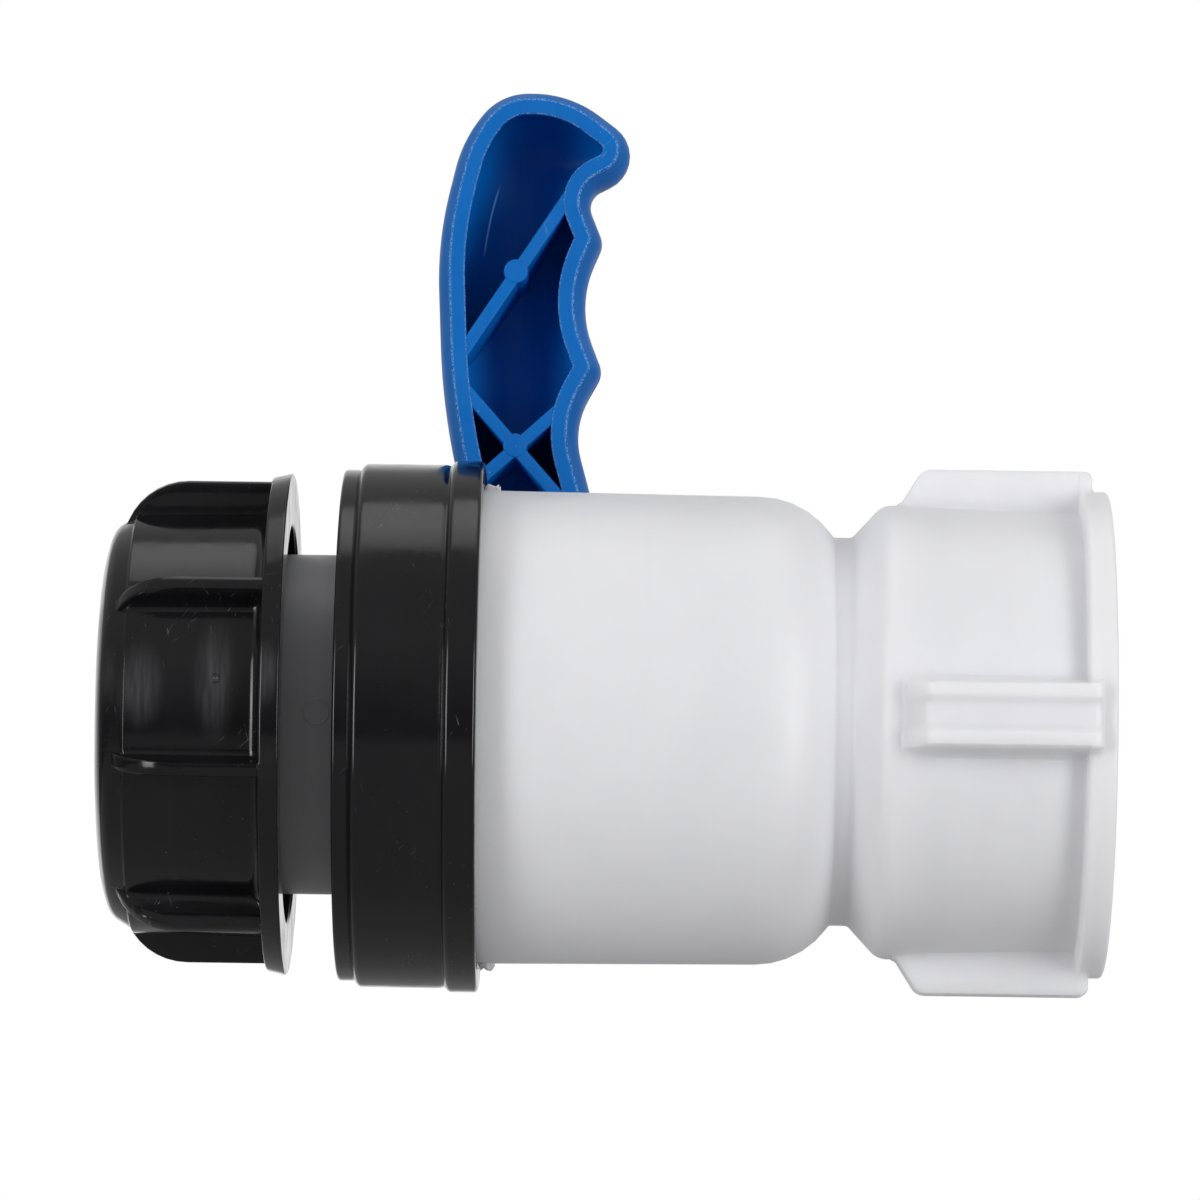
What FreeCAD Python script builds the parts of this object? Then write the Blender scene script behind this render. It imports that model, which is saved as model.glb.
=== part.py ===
import FreeCAD, Part
import math
import os

# Quarter-turn ball valve for a bulk container, in millimetres.
# The origin is the centre of the tank mouth, +X points into the tank, +Y along the stem,
# and +Z the way the lever points when the valve is shut. Stations along the flow are negative.

# Clearances
seat_ball_gap = 0.2
seat_fit = 0.1
ball_clear = 0.4
nose_fit = 0.3
collar_fit = 0.3
tube_fit = 0.4
stem_fit = 0.1
plug_fit = 0.1
tang_fit = 0.3
square_fit = 0.15
screw_fit = 0.1
seal_fit = 0.05
stack_gap = 0.3
hub_gap = 0.7
cap_gap = 0.3
stop_gap = 0.6
stop_gap_deg = 1.2

# Broken edges of the moulded pieces
edge = 0.5
fine_edge = 0.3

# Tank socket
tank_step = 9.0
thread_length = 24.0
thread_relief = 0.6
tank_gasket_t = 3.5
tank_gasket_space = 0.5
tank_gasket_w = 5.5
rim_wall = 6.2
rim_w = 4.05
socket_wall = 2.9
socket_draft = 0.9
socket_length = 34.2
shoulder_w = 4.7
shoulder_round = 1.6
lug_count = 4
lug_h = 6.6
lug_w = 9.9
lug_start = 2.3
lug_length = 25.9
lug_chamfer = 3.4
lug_corner_r = 1.3
lug_groove_w = 4.5
lug_groove_d = 1.6

# Ball, seats and chamber
bore_r = 22.0
bore_step = 0.5
bore_lip = 1.0
ball_bridge = 3.0
seat_w = 6.2
seat_lip = 2.7
seat_depth = 6.0
seat_cover = 3.5
seat_pocket_d = 3.5
seat_seal_d = 2.2
ledge_w = 3.5
chamber_corner_r = 3.5

# Valve body outside
neck_wall = 4.2
neck_w = 2.8
dome_r = 14.7
crown_run = 18.4
chamber_wall = 3.15
body_draft = 0.6
nub_h = 1.3
nub_l = 2.4
nub_w = 3.0

# Stem and its boss
stem_r = 8.0
flange_step = 3.0
flange_t = 3.0
thrust_t = 0.9
seal_land = 2.25
seal_pitch = 3.7
seal_cover = 2.1
stem_seal_d = 1.75
stem_seal_w = 2.3
boss_wall = 2.7
tang_w = 6.0
square_cut = 2.5
stop_w = 2.9
stop_lug_deg = 22.0
stop_block_deg = 16.0
stop_lug_h = 3.6

# Outlet adapter and locking collar
nose_land = 3.5
nose_seal_w = 3.1
nose_seal_d = 2.5
nose_tail = 4.4
adapter_flange_w = 3.0
adapter_flange_t = 4.6
tube_wall = 3.5
collar_lip_t = 3.0
collar_over = 13.3
collar_over_lug = 0.15
collar_nose_step = 0.55
collar_nose_w = 2.4
collar_edge_step = 0.6
collar_edge_w = 4.4

# Dust cap
neck_gap = 8.5
cap_depth = 24.2
cap_thread_space = 4.5
cap_wall = 2.15
cap_end_t = 3.5
cap_rim_h = 5.75
cap_rim_draft = 0.7
cap_rim_w = 3.0
cap_edge_step = 2.35
cap_dome_w = 3.1
cap_dome_fall = 1.9
cap_dome_r = 5.8
cap_gasket_t = 2.0
cap_gasket_gap = 0.7
grip_count = 8
grip_h = 4.55
grip_w = 2.3
grip_bevel = 0.5
grip_nose_r = 12.6
grip_nose_w = 11.2
grip_angle = 30.0

# Lever; its points are (along the flow, up) from the stem, and (u, v, radius) at a rounded corner
lever_depth = 20.0
lever_wall = 2.5
rim_inset = 2.05
back_inset = 4.0
hub_rim = 1.0
hub_round = 2.0
hub_web = 2.75
pocket_foot = 22.0
palm_foot = (-17.3, -5.0)
palm = (-32.2, 54.0)
palm_r = 110.0
web = (-7.1, 38.0)
web_r = 16.0
web_foot = (14.8, 10.0)
foot_r = 1.0
grip_top = [(-33.5, 82.2, 58.0), (-29.7, 98.5, 22.0), (-23.8, 106.1, 9.8), (-12.4, 106.5, 18.0)]
grip_nose = (2.6, 95.3, 5.6)
finger_grooves = [(-9.4, 89.2, 3.0), (-6.4, 81.8, 3.5), (-10.6, 72.0, 17.0), (-6.2, 60.8, 3.5),
                  (-11.0, 52.1, 13.0)]
rib_w = 2.1
rib_recess = 0.25
rib_lines = [(-29.5, 62.2, -11.0, 90.4), (-29.5, 58.5, -12.5, 39.4), (-11.6, 55.7, -29.0, 39.8)]
rib_pins = [(-20.5, 76.35), (-20.2, 48.3)]
rib_pin_r = 1.95
counterbore_r = 8.5
counterbore_d = 5.5
screw_r = 3.0
screw_head_r = 5.0
screw_head_h = 2.2
screw_hex_r = 2.4
screw_hex_d = 1.5
screw_engage = 9.0
handle_washer_gap = 0.9
handle_washer_t = 1.2
plug_t = 1.6
plug_dome = 0.4
plug_bevel = 2.5

# Radii that follow from the sizes above
thread_r = bore_r + tank_step
socket_r = thread_r + socket_wall
lug_r = socket_r + lug_h
passage_r = thread_r - tank_gasket_w
neck_r = passage_r + neck_wall
seat_bore_r = bore_r + bore_step
seat_r = seat_bore_r + seat_w
ball_r = seat_r + seat_cover
chamber_r = ball_r + ball_clear
crown_r = chamber_r + chamber_wall
body_end_r = crown_r + body_draft
flange_r = stem_r + flange_step
boss_r = flange_r + tang_fit + boss_wall
stop_in_r = boss_r + stop_gap
stop_out_r = stop_in_r + stop_w
hub_r = stop_out_r + hub_rim
square_w = 2 * (stem_r - square_cut)
tube_r = seat_bore_r + tube_wall
collar_edge_r = lug_r + collar_over_lug
collar_r = collar_edge_r - collar_edge_step
cap_bore_r = tube_r + cap_thread_space
cap_wall_r = cap_bore_r + cap_wall
cap_rim_r = cap_wall_r + cap_rim_h
cap_edge_r = cap_wall_r - cap_edge_step
grip_r = cap_wall_r + grip_h

# Stations along the flow that follow from them
gasket_seat_x = -(thread_length + tank_gasket_space + tank_gasket_t)
shoulder_x = -socket_length
neck_x = shoulder_x - shoulder_w
dome_turn = math.acos(1 - (crown_r - neck_r) / dome_r)
dome_x = neck_x - neck_w
crown_x = dome_x - dome_r * math.sin(dome_turn)
ball_x = crown_x - crown_run
seat_back = math.sqrt((ball_r + seat_ball_gap) ** 2 - seat_bore_r ** 2) + seat_lip
tank_back_x = ball_x + seat_back
outlet_back_x = ball_x - seat_back
nose_x = outlet_back_x + seat_pocket_d
nose_seal_x = outlet_back_x - nose_land
body_end_x = nose_seal_x - nose_seal_w - nose_tail
flange_face_x = body_end_x - adapter_flange_t
collar_face_x = flange_face_x - collar_lip_t
collar_end_x = body_end_x + collar_over
cap_rim_x = collar_face_x - neck_gap
cap_floor_x = cap_rim_x - cap_depth
cap_end_x = cap_floor_x - cap_end_t
tube_end_x = cap_floor_x + cap_gasket_t + cap_gap

# Heights along the stem that follow from them
flange_top = chamber_r - stack_gap / 2
flange_y = flange_top - flange_t
ball_flat = flange_y - stack_gap
slot_floor = bore_r + ball_bridge
thrust_top = flange_top + thrust_t + stack_gap / 2
lower_seal_y = thrust_top + seal_land
upper_seal_y = lower_seal_y + seal_pitch
boss_top = upper_seal_y + seal_cover
hub_y = boss_top + hub_gap
lever_back = hub_y + lever_depth
counterbore_y = lever_back - counterbore_d
square_top = counterbore_y - hub_web - square_fit
screw_seat_y = counterbore_y + handle_washer_t

X = FreeCAD.Vector(1, 0, 0)
Y = FreeCAD.Vector(0, 1, 0)
Z = FreeCAD.Vector(0, 0, 1)
CENTRE = FreeCAD.Vector(0, 0, 0)
BALL = FreeCAD.Vector(ball_x, 0, 0)


def flow_half(axial, radial):
    """Point of a half section that turns about the flow axis."""
    return FreeCAD.Vector(axial, 0, radial)


def stem_half(axial, radial):
    """Point of a half section that turns about the stem axis."""
    return FreeCAD.Vector(ball_x + radial, axial, 0)


def side_view(y):
    """Placing function for an outline drawn round the stem, seen along it, at height y."""
    return lambda u, v: FreeCAD.Vector(ball_x + u, y, v)


def corner_turn(before, corner, after):
    """Unit vectors from a corner to its neighbours, their distances and half the angle between."""
    u, v = corner[:2]
    length_b = math.dist((u, v), before[:2])
    length_a = math.dist((u, v), after[:2])
    to_before = ((before[0] - u) / length_b, (before[1] - v) / length_b)
    to_after = ((after[0] - u) / length_a, (after[1] - v) / length_a)
    cosine = to_before[0] * to_after[0] + to_before[1] * to_after[1]
    return to_before, to_after, length_a, math.acos(max(-1.0, min(1.0, cosine))) / 2


def rounded_wire(corners, place):
    """Closed wire through corners (u, v) or (u, v, radius), placed in space by a function.

    Each arc reaches radius / tan(half the angle) along its two sides. A negative radius
    is the leg of a chamfer. Where two cuts would meet on one side, both are shortened.
    """
    count = len(corners)
    turns = [corner_turn(corners[i - 1], corners[i], corners[(i + 1) % count]) for i in range(count)]
    sizes = [c[2] if len(c) > 2 else 0.0 for c in corners]
    reaches = [-r if r < 0 else r / math.tan(t[3]) for r, t in zip(sizes, turns)]
    shares = []
    for i in range(count):
        needed = reaches[i] + reaches[(i + 1) % count]
        room = turns[i][2]
        shares.append(1.0 if needed <= room * 1.0001 else 0.96 * room / needed)
    stops = []
    for i, (corner, turn) in enumerate(zip(corners, turns)):
        (bu, bv), (au, av), _, half = turn
        reach = reaches[i] * min(shares[i - 1], shares[i])
        u, v = corner[:2]
        if reach < 1e-6:
            stops.append(((u, v), None, (u, v)))
            continue
        depth = reach * (1 - math.sin(half)) / math.cos(half) / math.hypot(bu + au, bv + av)
        middle = (u + (bu + au) * depth, v + (bv + av) * depth) if sizes[i] > 0 else None
        stops.append(((u + bu * reach, v + bv * reach), middle, (u + au * reach, v + av * reach)))
    edges = []
    for i, (start, middle, end) in enumerate(stops):
        if middle:
            edges.append(Part.Arc(place(*start), place(*middle), place(*end)).toShape())
        elif start != end:
            edges.append(Part.makeLine(place(*start), place(*end)))
        onward = stops[(i + 1) % count][0]
        if math.dist(end, onward) > 1e-4:
            edges.append(Part.makeLine(place(*end), place(*onward)))
    return Part.Wire(edges)


def inset(corners, distance):
    """Outline moved inward by a distance; corners run clockwise as seen with u right and v up."""
    count = len(corners)
    moved = []
    for i, (u, v, radius) in enumerate(corners):
        before, after = corners[i - 1], corners[(i + 1) % count]
        d1 = (u - before[0], v - before[1])
        d2 = (after[0] - u, after[1] - v)
        l1, l2 = math.hypot(*d1), math.hypot(*d2)
        n1 = (d1[1] / l1, -d1[0] / l1)
        n2 = (d2[1] / l2, -d2[0] / l2)
        lean = 1 + n1[0] * n2[0] + n1[1] * n2[1]
        shift = ((n1[0] + n2[0]) / lean, (n1[1] + n2[1]) / lean)
        convex = d1[0] * d2[1] - d1[1] * d2[0] < 0
        new_radius = max(radius - distance, 0.4) if convex else radius + distance
        moved.append((u + shift[0] * distance, v + shift[1] * distance, new_radius))
    return moved


def turned(corners, place=flow_half):
    """Solid turned from a half section about the flow axis or the stem axis."""
    face = Part.Face(rounded_wire(corners, place))
    if place is flow_half:
        return face.revolve(CENTRE, X, 360)
    return face.revolve(BALL, Y, 360)


def ring(x0, x1, r0, r1):
    """Square-edged ring about the flow axis between two stations and two radii."""
    return turned([(x0, r0), (x1, r0), (x1, r1), (x0, r1)])


def plate(corners, y0, y1):
    """Flat plate with an X-Z outline between two heights along the stem."""
    return Part.Face(rounded_wire(corners, side_view(y0))).extrude(Y * (y1 - y0))


def stem_cylinder(radius, y0, y1):
    """Cylinder about the stem axis between two heights."""
    return Part.makeCylinder(radius, y1 - y0, FreeCAD.Vector(ball_x, y0, 0), Y)


def centred_box(length, width, y0, y1):
    """Box about the stem axis, length along X and width along Z."""
    corner = FreeCAD.Vector(ball_x - length / 2, y0, -width / 2)
    return Part.makeBox(length, y1 - y0, width, corner)


def flow_torus(station, radius, thickness):
    """O-ring about the flow axis."""
    return Part.makeTorus(radius, thickness / 2, FreeCAD.Vector(station, 0, 0), X)


def around(shape, count, first=0.0):
    """Copies of a shape spread evenly about the flow axis."""
    copies = []
    for i in range(count):
        copy = shape.copy()
        copy.rotate(CENTRE, X, first + i * 360.0 / count)
        copies.append(copy)
    return copies


def sector(middle_deg, width_deg, r0, r1, y0, y1):
    """Arc-shaped block about the stem; its angle grows from +Z towards the outlet."""
    def point(deg, radius):
        angle = math.radians(deg)
        return FreeCAD.Vector(ball_x - radius * math.sin(angle), y0, radius * math.cos(angle))

    a0, a1 = middle_deg - width_deg / 2, middle_deg + width_deg / 2
    outer = Part.Arc(point(a0, r1), point(middle_deg, r1), point(a1, r1)).toShape()
    inner = Part.Arc(point(a1, r0), point(middle_deg, r0), point(a0, r0)).toShape()
    side_a = Part.makeLine(point(a1, r1), point(a1, r0))
    side_b = Part.makeLine(point(a0, r0), point(a0, r1))
    return Part.Face(Part.Wire([outer, side_a, inner, side_b])).extrude(Y * (y1 - y0))


def socket_lug():
    """Spanner lug on the tank socket, facing the viewer, with a groove along its crest."""
    end = -(lug_start + lug_length)
    root = thread_r + socket_wall / 2
    foot = socket_r + socket_draft / 2

    def crest(height):
        return [(-lug_start, root), (-lug_start, height, lug_corner_r), (end, height, lug_corner_r),
                (end - lug_chamfer, foot), (end - lug_chamfer, root)]

    def slab(height, width):
        wire = rounded_wire(crest(height), lambda x, r: FreeCAD.Vector(x, -width / 2, r))
        return Part.Face(wire).extrude(Y * width)

    above_rails = slab(lug_r, lug_groove_w).cut(slab(lug_r - lug_groove_d, lug_w))
    return slab(lug_r, lug_w).cut(above_rails)


def valve_body():
    """Moulded body: tank socket, waist, ball chamber, stem boss and turning stops in one piece."""
    rim_r = thread_r + rim_wall
    outside = turned([
        (0, 0), (0, rim_r, -edge), (-rim_w, rim_r, -edge), (-rim_w - edge, socket_r),
        (shoulder_x, socket_r + socket_draft, shoulder_round), (neck_x, neck_r), (dome_x, neck_r),
        (crown_x + dome_r * math.tan(dome_turn / 2), crown_r, dome_r), (crown_x - edge, crown_r),
        (body_end_x, body_end_r, -edge), (body_end_x, 0)])
    inside = turned([
        (1, 0), (1, thread_r), (-thread_length, thread_r), (-thread_length, thread_r + thread_relief),
        (gasket_seat_x, thread_r + thread_relief), (gasket_seat_x, passage_r),
        (tank_back_x + ledge_w, passage_r), (tank_back_x + ledge_w, seat_bore_r),
        (tank_back_x, seat_bore_r), (tank_back_x, seat_r + seat_fit),
        (tank_back_x - seat_pocket_d, seat_r + seat_fit),
        (tank_back_x - seat_pocket_d, chamber_r, chamber_corner_r),
        (body_end_x - 1, chamber_r), (body_end_x - 1, 0)])
    boss = stem_cylinder(boss_r, 0, boss_top)
    boss = boss.makeChamfer(edge, [e for e in boss.Edges if abs(e.CenterOfMass.y - boss_top) < 0.01])
    half_lug = stop_lug_deg / 2 + stop_gap_deg + stop_block_deg / 2
    stop_foot = chamber_r / 2
    stops = [sector(180 - half_lug, stop_block_deg, boss_r - edge, stop_out_r, stop_foot, boss_top),
             sector(270 + half_lug, stop_block_deg, boss_r - edge, stop_out_r, stop_foot, boss_top)]
    nub = Part.makeBox(nub_l, nub_w, nub_h + edge,
                       FreeCAD.Vector(collar_end_x + stack_gap, -nub_w / 2, crown_r + body_draft / 2 - edge))
    extras = [boss] + stops + around(socket_lug(), lug_count) + around(nub, 2)
    body = outside.multiFuse(extras).removeSplitter()
    bores = [inside, stem_cylinder(stem_r + stem_fit, 0, boss_top + 1),
             stem_cylinder(flange_r + tang_fit, 0, thrust_top)]
    return body.cut(bores)


def tank_gasket():
    """Flat gasket at the foot of the tank thread."""
    return ring(gasket_seat_x, gasket_seat_x + tank_gasket_t, passage_r + seat_fit,
                thread_r + thread_relief / 2)


def seat(side):
    """Seat ring with a spherical face; side is 1 towards the tank and -1 towards the outlet."""
    back = ball_x + side * seat_back
    blank = ring(back, back - side * seat_depth, seat_bore_r, seat_r)
    seal_r = seat_r - seat_seal_d
    rebate = ring(back, back - side * seat_seal_d, seal_r, seat_r + 1)
    return blank.cut([rebate, Part.makeSphere(ball_r + seat_ball_gap, BALL)])


def seat_seal(side):
    """Back-up O-ring in the rebate behind a seat ring."""
    station = ball_x + side * (seat_back - seat_seal_d / 2)
    return flow_torus(station, seat_r - seat_seal_d / 2 + seal_fit, seat_seal_d - 2 * seal_fit)


def ball():
    """Bored ball, shut: its bore stands along Z and the drive slot lies along the flow."""
    sphere = Part.makeSphere(ball_r, BALL)
    span = 2 * ball_r
    bore = Part.makeCylinder(bore_r, span, BALL - Z * ball_r, Z)
    lip_z = math.sqrt(ball_r ** 2 - (bore_r + bore_lip) ** 2)
    keep = Part.makeCylinder(span, 2 * lip_z, BALL - Z * lip_z, Z)
    flat = centred_box(span, span, ball_flat, span)
    slot = centred_box(span, tang_w + tang_fit, slot_floor, span)
    return sphere.common(keep).cut([bore, flat, slot])


def outlet_adapter():
    """Outlet piece: nose in the chamber, clamped flange and plain spigot tube."""
    nose_r = chamber_r - nose_fit
    groove_end_x = nose_seal_x - nose_seal_w
    flange_r_out = chamber_r + adapter_flange_w
    return turned([
        (nose_x, seat_r + seat_fit), (nose_x, nose_r, -edge), (nose_seal_x, nose_r),
        (nose_seal_x, nose_r - nose_seal_d), (groove_end_x, nose_r - nose_seal_d),
        (groove_end_x, nose_r), (body_end_x, nose_r),
        (body_end_x, flange_r_out), (flange_face_x, flange_r_out, -edge),
        (flange_face_x, tube_r), (tube_end_x, tube_r, -edge), (tube_end_x, seat_bore_r, -edge),
        (outlet_back_x, seat_bore_r), (outlet_back_x, seat_r + seat_fit)])


def adapter_o_ring():
    """O-ring between the adapter nose and the chamber wall."""
    station = nose_seal_x - nose_seal_w / 2
    thickness = nose_seal_d + nose_fit - 2 * seal_fit
    return flow_torus(station, chamber_r - seal_fit - thickness / 2, thickness)


def locking_collar():
    """Collar that draws the adapter flange against the body, with its three stepped bands."""
    bore = body_end_r + collar_fit
    nose_r = collar_r - collar_nose_step
    return turned([
        (collar_face_x, tube_r + tube_fit), (collar_face_x, nose_r, -edge),
        (collar_face_x + collar_nose_w, nose_r), (collar_face_x + collar_nose_w, collar_r),
        (collar_end_x - collar_edge_w, collar_r), (collar_end_x - collar_edge_w, collar_edge_r),
        (collar_end_x, collar_edge_r, -edge), (collar_end_x, bore),
        (flange_face_x, bore), (flange_face_x, tube_r + tube_fit)])


def stem():
    """Blow-out proof stem: tang, inner flange, sealed shank and square head."""
    tang = centred_box(2 * stem_r - 1, tang_w, slot_floor + stack_gap, flange_y + 1)
    flange = stem_cylinder(flange_r, flange_y, flange_top)
    shank = stem_cylinder(stem_r, flange_y, hub_y)
    head = centred_box(square_w, square_w, hub_y - 1, square_top)
    solid = tang.fuse([flange, shank, head]).removeSplitter()
    cuts = [stem_cylinder(screw_r + screw_fit, square_top - screw_engage - 2, square_top + 1)]
    for height in (lower_seal_y, upper_seal_y):
        y0, y1 = height - stem_seal_w / 2, height + stem_seal_w / 2
        floor_r = stem_r + stem_fit - stem_seal_d
        cuts.append(stem_cylinder(stem_r + 1, y0, y1).cut(stem_cylinder(floor_r, y0, y1)))
    return solid.cut(cuts)


def stem_o_ring(height):
    """O-ring in one groove of the stem."""
    thickness = stem_seal_d - 2 * seal_fit
    centre = FreeCAD.Vector(ball_x, height, 0)
    return Part.makeTorus(stem_r + stem_fit - seal_fit - thickness / 2, thickness / 2, centre, Y)


def stem_thrust_washer():
    """Slip washer between the stem flange and the body."""
    y0 = flange_top + stack_gap / 4
    disc = stem_cylinder(flange_r, y0, y0 + thrust_t)
    return disc.cut(stem_cylinder(stem_r + stem_fit, y0 - 1, y0 + thrust_t + 1))


def lever_outline(base):
    """Grip outline round the stem, clockwise from its lower left, cut off square at a height."""
    slope = (palm[0] - palm_foot[0]) / (palm[1] - palm_foot[1])
    left = palm_foot[0] + slope * (base - palm_foot[1])
    share = max(0.0, (base - web_foot[1]) / (web[1] - web_foot[1]))
    right = web_foot[0] + (web[0] - web_foot[0]) * share
    return [(left, base, foot_r), (*palm, palm_r), *grip_top, grip_nose, *finger_grooves,
            (*web, web_r), (right, base, foot_r)]


def lofted(base, sections):
    """Closed skin through insets of the grip outline; sections are (height, inset)."""
    wires = [rounded_wire(inset(lever_outline(base), d), side_view(y)) for y, d in sections]
    return Part.makeLoft(wires, True, True)


def lever_rib(u0, v0, u1, v1):
    """Stiffening web of the grip between two points of the side view."""
    length = math.hypot(u1 - u0, v1 - v0)
    nu, nv = -(v1 - v0) / length * rib_w / 2, (u1 - u0) / length * rib_w / 2
    corners = [(u0 + nu, v0 + nv), (u1 + nu, v1 + nv), (u1 - nu, v1 - nv), (u0 - nu, v0 - nv)]
    return plate(corners, hub_y + rib_recess, lever_back - lever_wall / 2)


def handle():
    """Hollow grip lever, open towards the body, with its hub and stop lug."""
    def height(share):
        return hub_y + share * lever_depth

    skin = [(hub_y, rim_inset), (height(0.2), 0.27 * rim_inset), (height(0.4), 0.0),
            (height(0.75), 0.22 * back_inset), (lever_back, back_inset)]
    grip = lofted(palm_foot[1], skin)
    floor_y = lever_back - lever_wall
    hollow = [(hub_y - 1, rim_inset + lever_wall)] + [(y, d + lever_wall) for y, d in skin[2:-1]]
    hollow.append((floor_y, back_inset + lever_wall / 2))
    pocket = lofted(pocket_foot, hollow)
    ribs = [lever_rib(*line) for line in rib_lines]
    for u, v in rib_pins:
        foot = side_view(hub_y + rib_recess / 2)(u, v)
        ribs.append(Part.makeCylinder(rib_pin_r, lever_depth - lever_wall / 2, foot, Y))
    hub = stem_cylinder(hub_r, hub_y, lever_back)
    hub = hub.makeFillet(hub_round, [e for e in hub.Edges if abs(e.CenterOfMass.y - lever_back) < 0.01])
    lug = sector(180, stop_lug_deg, stop_in_r, stop_out_r, hub_y - stop_lug_h, hub_y + 1)
    webs = ribs[0].multiFuse(ribs[1:]).common(grip)
    solid = grip.cut(pocket).fuse([webs, hub, lug])
    socket = square_w + 2 * square_fit
    cuts = [centred_box(socket, socket, hub_y - 1, square_top + square_fit),
            stem_cylinder(screw_r + 3 * screw_fit, hub_y, lever_back),
            stem_cylinder(counterbore_r, counterbore_y, lever_back + 1)]
    return solid.cut(cuts)


def handle_washer():
    """Washer under the screw head, on the floor of the counterbore."""
    disc = stem_cylinder(counterbore_r - handle_washer_gap, counterbore_y, screw_seat_y)
    return disc.cut(stem_cylinder(screw_r + screw_fit, counterbore_y - 1, screw_seat_y + 1))


def handle_screw():
    """Screw that holds the lever on the stem, with a hexagon socket in its head."""
    top = screw_seat_y + screw_head_h
    head = stem_cylinder(screw_head_r, screw_seat_y, top)
    head = head.makeChamfer(edge, [e for e in head.Edges if abs(e.CenterOfMass.y - top) < 0.01])
    hexagon = [(screw_hex_r * math.cos(math.radians(a)), screw_hex_r * math.sin(math.radians(a)))
               for a in range(0, 360, 60)]
    key = plate(hexagon, top - screw_hex_d, top + 1)
    shank = stem_cylinder(screw_r, square_top - screw_engage, screw_seat_y + edge)
    return head.fuse(shank).cut(key)


def handle_plug():
    """Domed plug that closes the counterbore in the hub."""
    radius = counterbore_r - plug_fit
    rim_y = lever_back - plug_dome
    return turned([(rim_y - plug_t + plug_dome, 0), (lever_back, 0), (lever_back, radius - plug_bevel),
                   (rim_y, radius), (rim_y - plug_t + plug_dome, radius)], stem_half)


def grip_bar():
    """One grip rib of the dust cap, drawn at the top and bevelled along its crest."""
    start_x = cap_rim_x - cap_rim_w + edge
    bend_x = cap_end_x + cap_dome_w - edge
    arc_turn = math.asin(grip_nose_w / grip_nose_r)
    arc_x = bend_x + grip_nose_w
    foot_r = grip_r - grip_nose_r * (1 - math.cos(arc_turn))
    root = cap_edge_r - cap_wall
    corners = [(start_x, root), (start_x, grip_r),
               (arc_x - grip_nose_r * math.tan(arc_turn / 2), grip_r, grip_nose_r),
               (bend_x, foot_r), (bend_x, root)]
    wire = rounded_wire(corners, lambda x, r: FreeCAD.Vector(x, -grip_w / 2, r))
    bar = Part.Face(wire).extrude(Y * grip_w)
    crest = [e for e in bar.Edges if abs(abs(e.CenterOfMass.y) - grip_w / 2) < 0.01
             and e.BoundBox.ZMax > grip_r - 0.01 and e.BoundBox.XLength > 1]
    return bar.makeChamfer(grip_bevel, crest)


def dust_cap():
    """Screw cap with a broad rim, eight grip ribs and a domed edge."""
    rim_end = cap_rim_x - cap_rim_w
    step_x = cap_end_x + cap_dome_w
    block = turned([
        (cap_rim_x, 0), (cap_rim_x, cap_rim_r, -fine_edge),
        (rim_end, cap_rim_r - cap_rim_draft, -fine_edge), (rim_end, cap_wall_r),
        (step_x + 2 * edge, cap_wall_r, -edge), (step_x, cap_edge_r),
        (cap_end_x, cap_edge_r - cap_dome_fall, cap_dome_r), (cap_end_x, 0)])
    block = block.multiFuse(around(grip_bar(), grip_count, 90 - grip_angle)).removeSplitter()
    bore = Part.makeCylinder(cap_bore_r, cap_depth + 1, FreeCAD.Vector(cap_floor_x, 0, 0), X)
    return block.cut(bore)


def cap_gasket():
    """Flat gasket between the cap floor and the spigot mouth."""
    return Part.makeCylinder(cap_bore_r - cap_gasket_gap, cap_gasket_t, FreeCAD.Vector(cap_floor_x, 0, 0), X)


PIECES = {
    "valve_body": valve_body,
    "tank_gasket": tank_gasket,
    "tank_seat_ring": lambda: seat(1),
    "tank_seat_o_ring": lambda: seat_seal(1),
    "ball": ball,
    "outlet_seat_ring": lambda: seat(-1),
    "outlet_seat_o_ring": lambda: seat_seal(-1),
    "outlet_adapter": outlet_adapter,
    "adapter_o_ring": adapter_o_ring,
    "locking_collar": locking_collar,
    "stem": stem,
    "stem_thrust_washer": stem_thrust_washer,
    "stem_lower_o_ring": lambda: stem_o_ring(lower_seal_y),
    "stem_upper_o_ring": lambda: stem_o_ring(upper_seal_y),
    "handle": handle,
    "handle_washer": handle_washer,
    "handle_screw": handle_screw,
    "handle_plug": handle_plug,
    "dust_cap": dust_cap,
    "cap_gasket": cap_gasket,
}

os.makedirs("parts", exist_ok=True)
for name, make in PIECES.items():
    shape = make()
    print(name, shape.isValid(), len(shape.Solids), round(shape.Volume), len(shape.tessellate(0.05)[1]))
    shape.exportStep("parts/" + name + ".step")
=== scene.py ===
"""Looks of a quarter-turn ball valve for a bulk container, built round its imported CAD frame.

The frame's origin is the centre of the tank mouth, +X points into the tank, +Y runs along the
stem away from the viewer and +Z is the way the lever points when the valve is shut. Sizes in
this file are millimetres and become metres when a mesh is made.
"""

import logging
import math
from dataclasses import dataclass, field, replace
from enum import Enum

import bmesh
import bpy
import numpy as np
from mathutils import Matrix, Vector


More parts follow.
